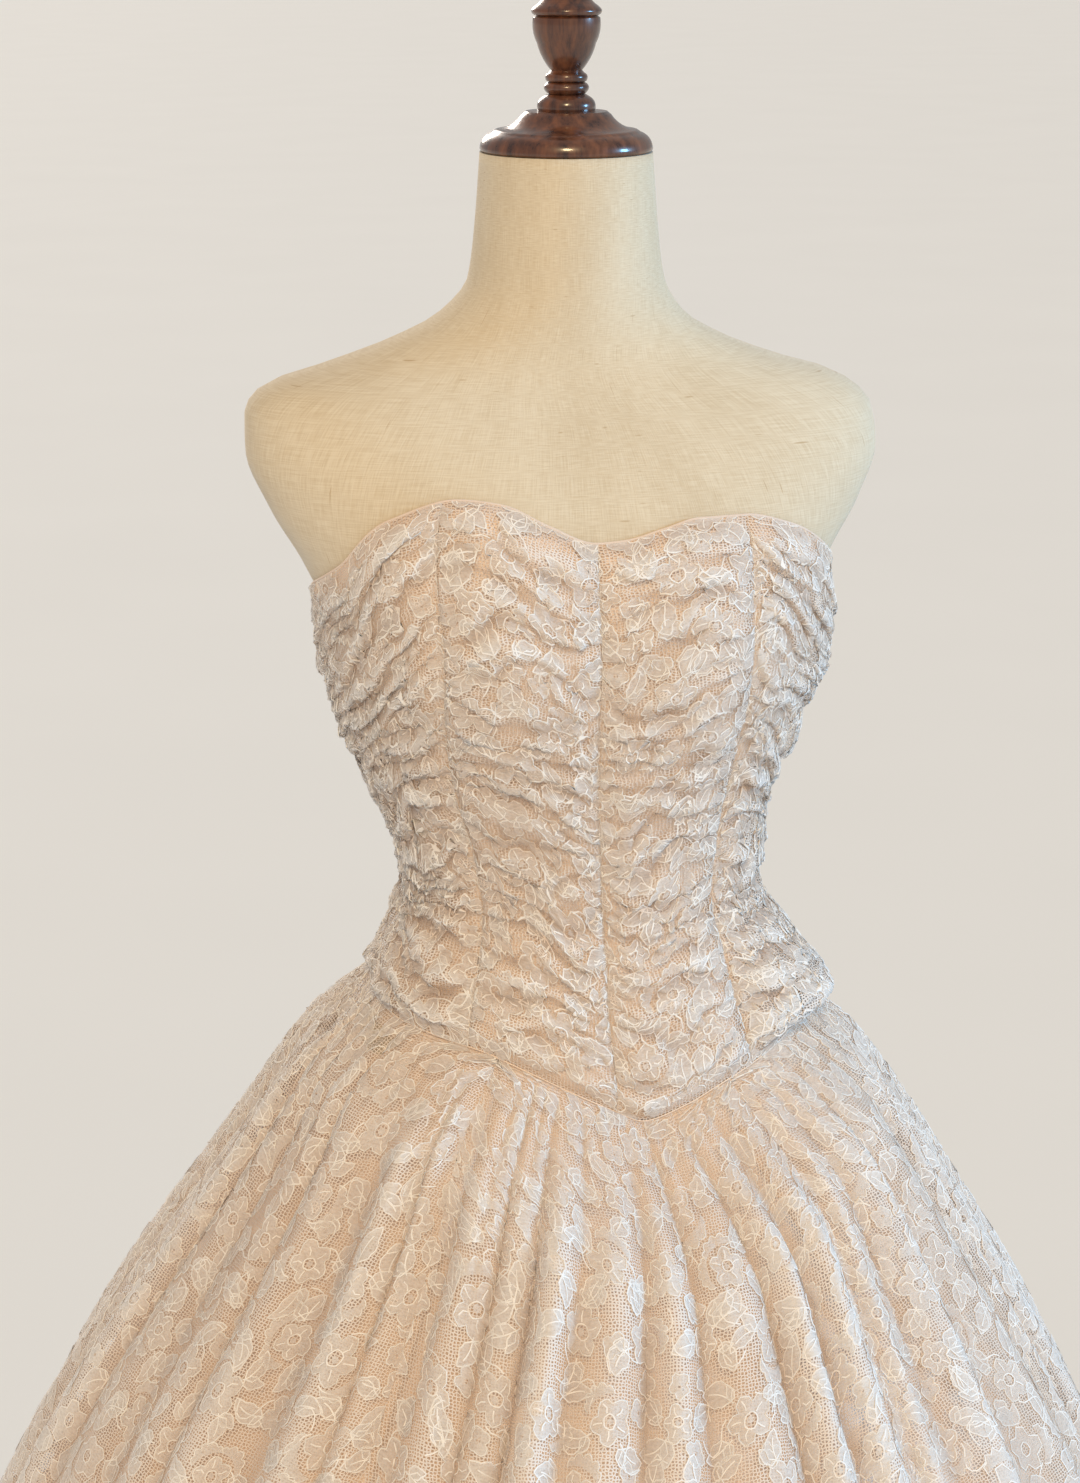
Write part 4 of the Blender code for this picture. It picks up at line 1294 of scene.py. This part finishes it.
# %% Laying sprigs
SPRIG_REACH = 0.046  # how far a bunch reaches from its middle
NET_TO_SPRIG = 0.35 * MM
FINE_DROP = 0.31  # below the waist, how far down the skirt the fine drawings go
BARE_BAND = 0.028  # of a front bodice panel's length, next to the basque seam
BODICE_CLOSENESS, SKIRT_CLOSENESS = 0.92, 1.0
JITTER = 4.0 * MM  # how far a bunch strays from its place in the rows


def sprig_places(cloth, closeness, dice):
    """Where the bunches lie on a flat cut, which drawing each is, and how it is turned."""
    across_step, up_step = closeness * BUNCH_SPACING * MM, closeness * ROW_SPACING * MM
    rows = int((cloth.length + 2.0 * SPRIG_REACH) / up_step) + 2
    columns = int((0.5 * cloth.width + SPRIG_REACH) / across_step) + 2
    start_across, start_up = dice.uniform(0.0, across_step), dice.uniform(-up_step, 0.0)
    places = []
    for row in range(rows):
        for column in range(-columns, columns + 1):
            jitter = dice.uniform(-JITTER, JITTER, 2)
            turn, number = dice.uniform(0.0, 2.0 * np.pi), int(dice.integers(len(BUNCHES)))
            up = row * up_step - SPRIG_REACH + start_up + jitter[1]
            sideways = (column + 0.5 * (row % 2)) * across_step + start_across + jitter[0]
            reach = 0.5 * float(cloth.width_at(up)) + SPRIG_REACH
            if abs(sideways) < reach and -SPRIG_REACH < up < cloth.length + SPRIG_REACH:
                places.append((sideways, up, number, turn))
    return places


def lay_sprigs(cloth, name, closeness, bare, fine_above, seed):
    """Join a panel's flowers while flat, trim them to the cut and bend them over the panel.

    Above fine_above, in metres up the cut, they are the fine drawings. For a share of the length called
    bare there are none next to the basque seam.
    """
    shape = bmesh.new()
    flats = []
    for sideways, up, number, turn in sprig_places(cloth, closeness, np.random.default_rng(seed)):
        drawing = sprigs[up > fine_above][number]
        shape.from_mesh(drawing)
        flat = vertex_places(drawing) @ np.array(Matrix.Rotation(turn, 3, "Z")).T
        flats.append(flat + np.array([sideways, up, 0.0]))
    flat = np.concatenate(flats)
    across, along = cloth.on_body(flat[:, 0], flat[:, 1])
    uneven = 0.85 + 0.3 * drift(9.0 * across, 0.0, seed)
    band = bare * uneven * np.sin(np.pi * np.clip(across, 0.0, 1.0)) ** 0.7
    inside = (across > 0.0) & (across < 1.0) & (along > band) & (along < 1.0)
    for vert, place in zip(shape.verts, flat):
        vert.co = place
    shape.verts.index_update()
    lost = [face for face in shape.faces if not any(inside[vert.index] for vert in face.verts)]
    bmesh.ops.delete(shape, geom=lost, context="FACES")
    mesh = mesh_of(name, shape)
    flat = vertex_places(mesh)
    across, along = (np.clip(part, 0.0, 1.0) for part in cloth.on_body(flat[:, 0], flat[:, 1]))
    mesh.vertices.foreach_set("co", cloth.point(across, along, flat[:, 2] + NET_TO_SPRIG).ravel())
    write_uv(mesh, cloth.on_cut(across, along))
    cloth.write_relief(mesh, across, along)
    for finish in (lace_woven, lace_cord):
        mesh.materials.append(finish)
    mesh.update()
    return new_object(name, mesh)


lace_sprigs = {}
for number, (name, (cloth, _)) in enumerate(lace_bodice.items()):
    bare = BARE_BAND if name.startswith("front") else 0.0
    lace_sprigs[cloth.name] = lay_sprigs(cloth, "sprigs_" + name, BODICE_CLOSENESS, bare, -1.0, 10 + number)
for number, (name, (cloth, _)) in enumerate(lace_skirt.items()):
    lace_sprigs[cloth.name] = lay_sprigs(
        cloth, "sprigs_skirt_" + name, SKIRT_CLOSENESS, 0.0, cloth.length - FINE_DROP, 30 + number
    )
for piece in lace_sprigs.values():
    print(piece.name, "has about", 2 * len(piece.data.polygons), "triangles")

# %% [markdown]
# ## The dress form
#
# The body of the form is one smooth closed shell, laid from the same level cuts as the cloth, so the
# gown fits it with no measuring. It is covered in natural linen, whose slubs are short thick places in
# the threads. The cap and the finial are turned wood, so they are spun from their profiles.

# %% The linen body
TORSO_EDGE_ROUNDING = 0.014
TORSO_COLUMNS = 104
TORSO_ROWS = 112
LINEN_GIRTH = 0.90


def torso_surface(across, along):
    height = TORSO_BOTTOM + (NECK_TOP - TORSO_BOTTOM) * along
    above_edge = np.minimum((height - TORSO_BOTTOM) / TORSO_EDGE_ROUNDING, 1.0)
    rounding = TORSO_EDGE_ROUNDING * (1.0 - np.sqrt(1.0 - (1.0 - above_edge) ** 2))
    return torso_point(360.0 * across - 180.0, height, -rounding)


def torso_cut(across, along):
    """The body's linen on the flat, which is only for its weave's scale."""
    return np.stack([LINEN_GIRTH * across, (NECK_TOP - TORSO_BOTTOM) * along], -1)


def linen_finish():
    """Natural linen with darker slubs across and up."""
    linen = Finish("form_linen", (0.83, 0.74, 0.58), 0.88, Sheen_Weight=0.25, Sheen_Roughness=0.5)
    warp = linen.cloth_noise(1500.0, 70.0, 2.0)
    weft = linen.cloth_noise(70.0, 1500.0, 2.0)
    weave = linen.maths("ADD", warp, weft)
    tone = linen.cloth_noise(14.0, 10.0, 3.0)
    shade = linen.maths("ADD", linen.between(weave, 0.75, 1.3), linen.between(tone, 0.3, 0.7, -0.2, 0.3))
    cloth_colour = linen.colours(shade, (0.66, 0.55, 0.39), (0.80, 0.71, 0.555))
    flecks = linen.cloth_noise(60.0, 620.0, 1.0, 0.2)
    upright = linen.cloth_noise(700.0, 50.0, 1.0, 0.2)
    slub = linen.between(linen.maths("MAXIMUM", flecks, upright), 0.76, 0.82, 0.0, 0.75)
    linen.take("Base Color", linen.colours(slub, cloth_colour, (0.52, 0.38, 0.22)))
    linen.bump_from(weave, 0.20 * MM, 0.6)
    return linen.material


body = laid_grid("linen_body", TORSO_COLUMNS, TORSO_ROWS, torso_surface, torso_cut)
shape = bmesh.new()
shape.from_mesh(body.data)
bmesh.ops.remove_doubles(shape, verts=shape.verts, dist=0.01 * MM)
open_edges = [edge for edge in shape.edges if edge.is_boundary]
for face in bmesh.ops.holes_fill(shape, edges=open_edges, sides=0)["faces"]:
    face.smooth = False
bmesh.ops.recalc_face_normals(shape, faces=shape.faces)
shape.to_mesh(body.data)
shape.free()
body.data.materials.append(linen_finish())
print("the linen body has", len(body.data.polygons), "faces")

# %% [markdown]
# Turned wood shows the lathe: crisp beads, coves and shoulders, and grain that runs up the middle. Each
# profile is a short table of rings, from the top down, and says how far the way to the next one bulges.


# %% Turned walnut
class Turn(NamedTuple):
    height: float
    radius: float
    bulge: float


NECK_CAP = [
    Turn(34.0, 0.0, 0.0),
    Turn(34.0, 12.0, 0.0),
    Turn(32.6, 14.4, 0.18),
    Turn(24.4, 17.6, 0.0),
    Turn(24.0, 25.0, 0.0),
    Turn(22.0, 27.5, -0.12),
    Turn(13.0, 43.5, 0.0),
    Turn(11.6, 45.5, 0.16),
    Turn(2.0, 53.0, 0.12),
    Turn(0.0, 51.5, 0.0),
    Turn(0.0, 0.0, 0.0),
]

FINIAL = [
    Turn(96.0, 0.0, 0.10),
    Turn(93.0, 5.5, 0.16),
    Turn(84.0, 10.0, 0.20),
    Turn(72.0, 7.0, -0.14),
    Turn(62.0, 11.0, -0.08),
    Turn(52.0, 19.0, 0.0),
    Turn(50.5, 20.6, 0.22),
    Turn(47.0, 20.6, 0.0),
    Turn(46.0, 18.8, 0.0),
    Turn(45.0, 20.4, 0.08),
    Turn(30.0, 18.0, 0.06),
    Turn(14.0, 9.6, 0.0),
    Turn(12.6, 10.8, 0.25),
    Turn(7.8, 12.4, 0.0),
    Turn(7.0, 11.0, 0.0),
    Turn(6.2, 12.4, 0.25),
    Turn(1.2, 12.6, 0.0),
    Turn(0.0, 11.4, 0.0),
    Turn(0.0, 0.0, 0.0),
]

FIT_GAP = 0.3 * MM
LATHE_STEPS = 96
SHARP_EDGE = math.radians(32.0)


def turned(name, rows, foot, finish):
    """Spin a profile of straight and bulging stretches about the middle line."""
    shape = bmesh.new()
    profile = []
    for row, below in zip(rows, rows[1:] + rows[-1:]):
        here = Vector((row.radius * MM, 0.0, foot + row.height * MM))
        way = Vector((below.radius * MM, 0.0, foot + below.height * MM)) - here
        bulge_way = 4.0 * row.bulge * Vector((-way.z, 0.0, way.x))
        pieces = 10 if row.bulge else 2
        for i in range(pieces if below is not row else 1):
            t = i / pieces
            profile.append(shape.verts.new(here + way * t + bulge_way * (t * (1.0 - t))))
    edges = [shape.edges.new(pair) for pair in zip(profile, profile[1:])]
    bmesh.ops.spin(
        shape,
        geom=profile + edges,
        cent=(0.0, 0.0, 0.0),
        axis=(0.0, 0.0, 1.0),
        angle=2.0 * math.pi,
        steps=LATHE_STEPS,
        use_merge=True,
    )
    bmesh.ops.remove_doubles(shape, verts=shape.verts, dist=0.01 * MM)
    bmesh.ops.recalc_face_normals(shape, faces=shape.faces)
    mesh = mesh_of(name, shape)
    mesh.set_sharp_from_angle(angle=SHARP_EDGE)
    mesh.materials.append(finish)
    return new_object(name, mesh)


def walnut_finish():
    """Dark polished wood with its grain running up."""
    coat = {"Coat_Weight": 0.7, "Coat_Roughness": 0.12, "Coat_IOR": 1.5}
    wood = Finish("turned_walnut", (0.10, 0.035, 0.016), 0.30, **coat)
    grain = wood.solid_noise(160.0, 160.0, 11.0, 6.0, 0.65)
    broad = wood.solid_noise(38.0, 38.0, 5.0, 2.0)
    streak = wood.maths("ADD", wood.between(grain, 0.35, 0.70), wood.between(broad, 0.3, 0.7, -0.3, 0.3))
    wood.take("Base Color", wood.colours(streak, (0.035, 0.010, 0.006), (0.20, 0.070, 0.028)))
    wood.take("Roughness", wood.between(grain, 0.3, 0.7, 0.24, 0.42))
    wood.bump_from(grain, 0.12 * MM, 0.4)
    return wood.material


turned_walnut = walnut_finish()
cap_foot = NECK_TOP + FIT_GAP
neck_cap = turned("walnut_neck_cap", NECK_CAP, cap_foot, turned_walnut)
finial_foot = cap_foot + NECK_CAP[0].height * MM + FIT_GAP
finial = turned("walnut_finial", FINIAL, finial_foot, turned_walnut)
print("the finial's top is", round(finial_foot + FINIAL[0].height * MM, 3), "m up")

# %% [markdown]
# ## Edges that a dressmaker finishes
#
# A narrow satin piping closes the neckline, a thin satin roll marks the basque seam, and a rolled edge
# finishes the lace hem. All are round cords along an edge that is already known, so one helper sweeps a
# small circle along any path of points.


# %% Pipings and rolled edges
def tube(name, points, radius, finish, closed=False):
    """A round cord along a path, as plain mesh."""
    outline = bpy.data.curves.new(name, "CURVE")
    outline.dimensions = "3D"
    outline.bevel_depth = radius
    outline.bevel_resolution = 2
    outline.use_fill_caps = not closed
    path = outline.splines.new("POLY")
    path.points.add(len(points) - 1)
    path.points.foreach_set("co", np.column_stack([points, np.ones(len(points))]).ravel())
    path.use_cyclic_u = closed
    guide = new_object(name + "_path", outline)
    bpy.context.view_layer.update()
    mesh = bpy.data.meshes.new_from_object(guide.evaluated_get(bpy.context.evaluated_depsgraph_get()))
    bpy.data.objects.remove(guide)
    mesh.name = name
    shape = bmesh.new()
    shape.from_mesh(mesh)
    bmesh.ops.remove_doubles(shape, verts=shape.verts, dist=0.001 * MM)
    bmesh.ops.recalc_face_normals(shape, faces=shape.faces)
    shape.to_mesh(mesh)
    shape.free()
    mesh.shade_smooth()
    write_uv(mesh, vertex_places(mesh)[:, [0, 2]])
    mesh.materials.clear()
    mesh.materials.append(finish)
    return new_object(name, mesh)


PIPING_RADIUS, PIPING_RISE = 0.9 * MM, 0.5 * MM
ROLL_RADIUS, ROLL_SINK = 0.5 * MM, 0.2 * MM
HEM_RADIUS = 1.1 * MM
ZIP_HALF_WIDTH = 4.6 * MM
TOP_STEPS, BASQUE_STEPS, HEM_STEPS = 300, 361, 200

ends = math.degrees(ZIP_HALF_WIDTH / float(panel_radius(np.array(180.0), np.array(1.0))))
round_the_top = np.linspace(-180.0 + ends, 180.0 - ends, TOP_STEPS)
top_edge = bodice_point(round_the_top, np.ones(TOP_STEPS), satin_lift(1.0) + 0.5 * SATIN_WALL)
top_edge[:, 2] += PIPING_RISE
piping = tube("neckline_piping", top_edge, PIPING_RADIUS, blush_piping)

round_the_basque = np.linspace(-180.0, 180.0, BASQUE_STEPS)
low_edge = bodice_point(round_the_basque, np.zeros(BASQUE_STEPS), lace_seam_lift(0.0) - ROLL_SINK)
low_edge[:, 2] -= ROLL_SINK
basque_roll = tube("basque_roll", low_edge[:-1], ROLL_RADIUS, peach_satin, closed=True)

hem_rolls = {}
for panel in SKIRT_PANELS:
    cloth = lace_skirt[panel.name][0]
    share = np.linspace(0.0, 1.0, HEM_STEPS)
    hem = cloth.surface(share, np.zeros(HEM_STEPS)) + np.array([0.0, 0.0, HEM_RADIUS])
    hem_rolls[panel.name] = tube("hem_roll_" + panel.name, hem, HEM_RADIUS, lace_cord)
print("the piping is", round(float(np.linalg.norm(np.diff(top_edge, axis=0), axis=1).sum()), 3), "m long")

# %% [markdown]
# ## Metal
#
# The stand under the skirt is black-enamelled steel, hardly seen. The slider and its pull tab are
# nickel, which is warm grey, with fine scratches that make its shine uneven.

# %% Finishes for the stand and the zip
def steel_finish():
    steel = Finish("stand_steel", (0.03, 0.03, 0.032), 0.42, Metallic=0.3)
    mottle = steel.solid_noise(220.0, 220.0, 220.0, 3.0)
    steel.take("Roughness", steel.between(mottle, 0.3, 0.7, 0.34, 0.55))
    steel.bump_from(mottle, 0.08 * MM, 0.5)
    return steel.material


def nickel_finish():
    nickel = Finish("zip_nickel", (0.72, 0.69, 0.64), 0.28, Metallic=1.0)
    scratches = nickel.solid_noise(900.0, 900.0, 120.0, 3.0)
    nickel.take("Roughness", nickel.between(scratches, 0.3, 0.7, 0.20, 0.42))
    return nickel.material


stand_steel, zip_nickel = steel_finish(), nickel_finish()
STAND_NODES = ("form_base", "form_pole", "form_socket")
for name in STAND_NODES:
    node = frame["nodes"][name]
    node.data.materials.clear()
    node.data.materials.append(stand_steel)
    print(name, "is", stand_steel.name)

# %% [markdown]
# ## The zip
#
# The gown closes with a metal zip down the centre back. Closed, its two tapes meet and are one strip
# here. Small teeth take turns across the middle, and the slider at the top holds them shut. All of it
# follows the curve of the back, so one helper gives a small frame anywhere on the zip: x across, y out
# from the body and z up.

# %% Tape and teeth
ZIP_THICKNESS = 1.4 * MM
ZIP_FOOT, ZIP_SPAN = 0.012, 0.976  # as shares of the back's height
TAPE_HALF_WIDTH, TAPE_WALL, TAPE_GRID = 5.1 * MM, 0.5 * MM, (6, 60)
TOOTH_PITCH = 1.5 * MM
TOOTH_SIZE = (2.6 * MM, 0.8 * MM, 1.0 * MM)
TOOTH_REACH = 0.8 * MM
STOP_SIZE, STOP_SPREAD = (1.9 * MM, 1.0 * MM, 3.2 * MM), 1.8 * MM
STOP_RISES = (ZIP_FOOT + 0.012, 0.968)  # one broad stop at the foot and two at the top
SLIDER_HEIGHT = 1.219
BEVEL_ANGLE = 0.5  # radians; an edge flatter than this isn't bevelled


def zip_point(sideways, rise, lift):
    """Points on the zip, over the satin, sideways towards the wearer's right."""
    around = 180.0 + np.degrees(sideways / panel_radius(np.full_like(rise, 180.0), rise))
    return bodice_point(around, rise, satin_lift(rise) + SATIN_WALL + LAYER_GAP + lift)


def on_zip(rise, lift):
    """A frame on the zip's middle line."""
    low, here, high = (Vector(zip_point(0.0, np.array(rise + step), lift)) for step in (-0.02, 0.0, 0.02))
    up, across = (high - low).normalized(), Vector((1.0, 0.0, 0.0))
    turn = Matrix((across, up.cross(across), up)).transposed()
    return Matrix.Translation(here) @ turn.to_4x4()


def block_on_zip(shape, rise, sideways, size):
    """Add a block to a bmesh, standing on the tape."""
    place = Matrix.Translation((sideways, 0.5 * size[1], 0.0)) @ Matrix.Diagonal((*size, 1.0))
    bmesh.ops.create_cube(shape, size=1.0, matrix=on_zip(rise, TAPE_WALL) @ place)


def finished(name, shape, finish, bevel=0.0, segments=1):
    """Bevel a bmesh's edges, turn its faces outwards and make it an object."""
    if bevel:
        edges = [edge for edge in shape.edges if edge.calc_face_angle(0.0) > BEVEL_ANGLE]
        bmesh.ops.bevel(
            shape, geom=edges, offset=bevel, segments=segments, affect="EDGES", profile=0.5, material=-1
        )
    bmesh.ops.recalc_face_normals(shape, faces=shape.faces)
    mesh = mesh_of(name, shape)
    mesh.materials.append(finish)
    return new_object(name, mesh)


def tape_surface(across, along):
    """The tape lies flat on the satin, from the zip's foot to its top."""
    return zip_point(TAPE_HALF_WIDTH * (2.0 * across - 1.0), ZIP_FOOT + ZIP_SPAN * along, 0.0)


tape = Cloth("zip_tape", tape_surface)
zip_tape = laid_cloth(tape, *TAPE_GRID)
thicken(zip_tape, TAPE_WALL, 1.0)
zip_tape.data.materials.append(blush_piping)

basque_back, neckline_back = float(basque_height(180.0)), float(neckline_height(180.0))
slider_rise = (SLIDER_HEIGHT - basque_back) / (neckline_back - basque_back)
shape = bmesh.new()
teeth = int((slider_rise - 0.05) * tape.length / TOOTH_PITCH)
for number in range(teeth):
    rise = ZIP_FOOT + 0.02 + number * TOOTH_PITCH / tape.length
    side = 1.0 if number % 2 else -1.0
    block_on_zip(shape, rise, side * (0.5 * TOOTH_SIZE[0] - TOOTH_REACH), TOOTH_SIZE)
block_on_zip(shape, STOP_RISES[0], 0.0, (2.2 * STOP_SIZE[0], *STOP_SIZE[1:]))
for side in (-1.0, 1.0):
    block_on_zip(shape, STOP_RISES[1], side * STOP_SPREAD, STOP_SIZE)
zip_teeth = finished("zip_teeth", shape, zip_nickel, 0.14 * MM)
print("the zip is", round(tape.length, 3), "m long with", teeth, "teeth")

# %% Slider and pull tab
SLIDER_SIZE = Vector((9.0, 2.2, 11.0)) * MM
SLIDER_WAIST = 0.66  # its foot's width, as a share of its shoulders' width
BRIDGE_WIDTH = 2.0 * MM
BRIDGE_INNER, BRIDGE_OUTER = 2.1 * MM, 3.4 * MM
BRIDGE_RISE = 3.8 * MM
BRIDGE_SINK = 0.2 * MM  # how far the bridge's feet go into the slider's face
BRIDGE_STEPS = 12
HINGE_RISE = 1.3 * MM  # how far the pull tab's hinge stands off the slider's face
TAB_SIZE = Vector((5.8, 1.2, 24.0)) * MM
TAB_TOP = 0.7 * MM
TAB_HOLE = (1.5 * MM, 2.5 * MM)
TAB_TAPER = 0.14
TAB_STEPS = 48

seat = on_zip(slider_rise, ZIP_THICKNESS + 1.5 * FIT_GAP)
shape = bmesh.new()
body_block = bmesh.ops.create_cube(shape, size=1.0, matrix=Matrix.Diagonal((*SLIDER_SIZE, 1.0)))["verts"]
for corner in body_block:
    corner.co.y += 0.5 * SLIDER_SIZE.y
bmesh.ops.subdivide_edges(
    shape, edges=[edge for edge in shape.edges if abs(edge.verts[0].co.z - edge.verts[1].co.z) > MM], cuts=2
)
for corner in shape.verts:
    corner.co.x *= 1.0 if corner.co.z > 0.0 else SLIDER_WAIST
bridge = bmesh.ops.create_grid(shape, x_segments=1, y_segments=1, size=0.5)["verts"]
for corner in bridge:
    x, z = corner.co.x, corner.co.y + 0.5
    corner.co = (BRIDGE_WIDTH * x, 0.0, BRIDGE_INNER + (BRIDGE_OUTER - BRIDGE_INNER) * z)
start = list({face for corner in bridge for face in corner.link_faces})
before = set(shape.verts) - set(bridge)
bmesh.ops.spin(
    shape,
    geom=start,
    cent=(0.0, 0.0, 0.0),
    axis=(1.0, 0.0, 0.0),
    angle=math.pi,
    steps=BRIDGE_STEPS,
    use_merge=False,
)
for corner in set(shape.verts) - before:
    corner.co.y = SLIDER_SIZE.y - BRIDGE_SINK + abs(corner.co.y) * BRIDGE_RISE / BRIDGE_OUTER
bmesh.ops.transform(shape, matrix=seat, verts=shape.verts)
zip_slider = finished("zip_slider_body", shape, zip_nickel, 0.35 * MM, 3)


def rounded(centre, half_width, half_height, angle, power):
    """A point of a rounded oblong. It is squarer where the power is higher."""
    cosine, sine = math.cos(angle), math.sin(angle)
    x = half_width * math.copysign(abs(cosine) ** (2.0 / power), cosine)
    return x, centre + half_height * math.copysign(abs(sine) ** (2.0 / power), sine)


tab_middle = TAB_TOP - 0.5 * TAB_SIZE.z


def tab_place(column, row):
    """Corners of the tab's face: row 0 runs round its hole and row 1 round its edge."""
    angle = 2.0 * math.pi * column / TAB_STEPS
    edge = rounded(tab_middle, 0.5 * TAB_SIZE.x, 0.5 * TAB_SIZE.z, angle, 5.0)
    hole = rounded(-TAB_TOP - TAB_HOLE[1], *TAB_HOLE, angle, 3.5)
    x, z = (hole, edge)[row]
    taper = 1.0 - TAB_TAPER * (z - tab_middle) / TAB_SIZE.z if row else 1.0
    return Vector((x * taper, -0.5 * TAB_SIZE.y, z))


shape = bmesh.new()
grid_on(shape, TAB_STEPS, 1, tab_place, 0)
bmesh.ops.remove_doubles(shape, verts=shape.verts, dist=0.001 * MM)
front = bmesh.ops.extrude_face_region(shape, geom=shape.faces[:])["geom"]
moved = [part for part in front if isinstance(part, bmesh.types.BMVert)]
bmesh.ops.translate(shape, vec=(0.0, TAB_SIZE.y, 0.0), verts=moved)
hinge = seat.translation + seat.to_3x3() @ Vector((0.0, SLIDER_SIZE.y + HINGE_RISE, 0.0))
bmesh.ops.translate(shape, vec=hinge, verts=shape.verts)
pull_tab = finished("zip_pull_tab_plate", shape, zip_nickel, 0.22 * MM, 2)

# %% [markdown]
# ## Saying what each piece is
#
# Each piece names the body that it moves with and hides the plain solid that it stands for. The gown's
# panels get their finishes here too.

def declare(piece, replaced, slot):
    """Say that a piece rides on the gown and which plain solid it replaces, if any. The slot is not used.
    """
    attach(piece, GOWN)
    if replaced:
        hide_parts(replaced)


for panels, kind, slot, finish in (
    (satin_bodice, "bodice_satin_", "peach_satin", peach_satin),
    (satin_skirt, "skirt_satin_", "peach_satin", peach_satin),
    (lace_bodice, "bodice_lace_", "blush_lace", lace_net),
    (lace_skirt, "skirt_lace_", "blush_lace", lace_net),
):
    for name, (cloth, piece) in panels.items():
        piece.data.materials.append(finish)
        declare(piece, kind + name, slot)
        if slot == "peach_satin":
            held = "stretched" if "bodice" in kind else "hung"
            continue
        sprig = lace_sprigs[cloth.name]
        declare(sprig, None, slot)
        trims = [sprig, hem_rolls[name]] if "skirt" in kind else [sprig]
        under = satin_skirt if "skirt" in kind else satin_bodice
for roll in hem_rolls.values():
    declare(roll, None, "blush_lace")
declare(zip_tape, "zip_chain", "peach_satin")
declare(zip_teeth, None, "zip_nickel")
declare(zip_slider, "zip_slider", "zip_nickel")
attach(pull_tab, "zip_pull")
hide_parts("zip_pull_tab")
declare(piping, None, "peach_satin")
declare(basque_roll, None, "peach_satin")
declare(body, "form_torso", "form_linen")
declare(neck_cap, "form_neck_cap", "turned_walnut")
declare(finial, "form_finial", "turned_walnut")
print("the gown has", len(lace_sprigs), "lace panels on", GOWN, "and one tab on zip_pull")

# %% [markdown]
# ## The studio
#
# A pale floor and three soft lights, each a panel so large and far off that it lights the whole floor
# evenly. The key is warm and comes from in front and above, the fill is cool and comes from the wearer's
# left, and a weaker light behind shows the zip. A pale sky keeps the shadows open.

# %% Floor and lights
FLOOR_REACH = 60.0
shape = bmesh.new()
bmesh.ops.create_grid(shape, x_segments=1, y_segments=1, size=FLOOR_REACH)
floor = new_object("floor", mesh_of("floor", shape))
pale = Finish("floor_paper", (0.90, 0.89, 0.87), 0.9)
cloudy = pale.solid_noise(1.5, 1.5, 1.5, 2.0)
pale.take("Base Color", pale.colours(cloudy, (0.89, 0.88, 0.86), (0.92, 0.91, 0.89)))
floor.data.materials.append(pale.material)


class Lamp(NamedTuple):
    name: str
    place: tuple
    spread: float  # degrees that the far panel spans, seen from the gown
    power: float
    colour: tuple


LAMPS = [
    Lamp("key", (-0.30, -2.1, 2.6), 12.0, 1.52, (1.0, 0.74, 0.42)),
    Lamp("fill", (2.6, -0.7, 1.7), 12.0, 1.95, (0.26, 0.62, 1.0)),
    Lamp("back", (-0.4, 2.6, 1.7), 20.0, 0.9, (1.0, 0.90, 0.80)),
]
LAMP_AIM = Vector((0.0, 0.0, 1.05))
for lamp in LAMPS:
    light = bpy.data.lights.new(lamp.name, "SUN")
    light.energy = lamp.power
    light.color = lamp.colour
    light.angle = math.radians(lamp.spread)
    holder = bpy.data.objects.new(lamp.name, light)
    bpy.context.scene.collection.objects.link(holder)
    holder.location = lamp.place
    way = LAMP_AIM - Vector(lamp.place)
    holder.rotation_euler = way.to_track_quat("-Z", "Y").to_euler()
    print("the", lamp.name, "light is", round(way.length, 2), "m from the gown's waist")

world = bpy.data.worlds.new("studio")
bpy.context.scene.world = world
world.use_nodes = True
sky = world.node_tree.nodes["Background"]
sky.inputs["Color"].default_value = (0.92, 0.90, 0.88, 1.0)
sky.inputs["Strength"].default_value = 0.44
bpy.context.scene.view_settings.view_transform = "Standard"

# %% Measure the visual model and finish
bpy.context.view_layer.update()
total = 0
for piece in bpy.data.objects:
    if piece.type == "MESH" and not piece.hide_render and not piece.name.startswith("floor"):
        mesh = piece.evaluated_get(bpy.context.evaluated_depsgraph_get()).data
        total += sum(len(face.vertices) - 2 for face in mesh.polygons)
print("all that is shown has", total, "triangles")
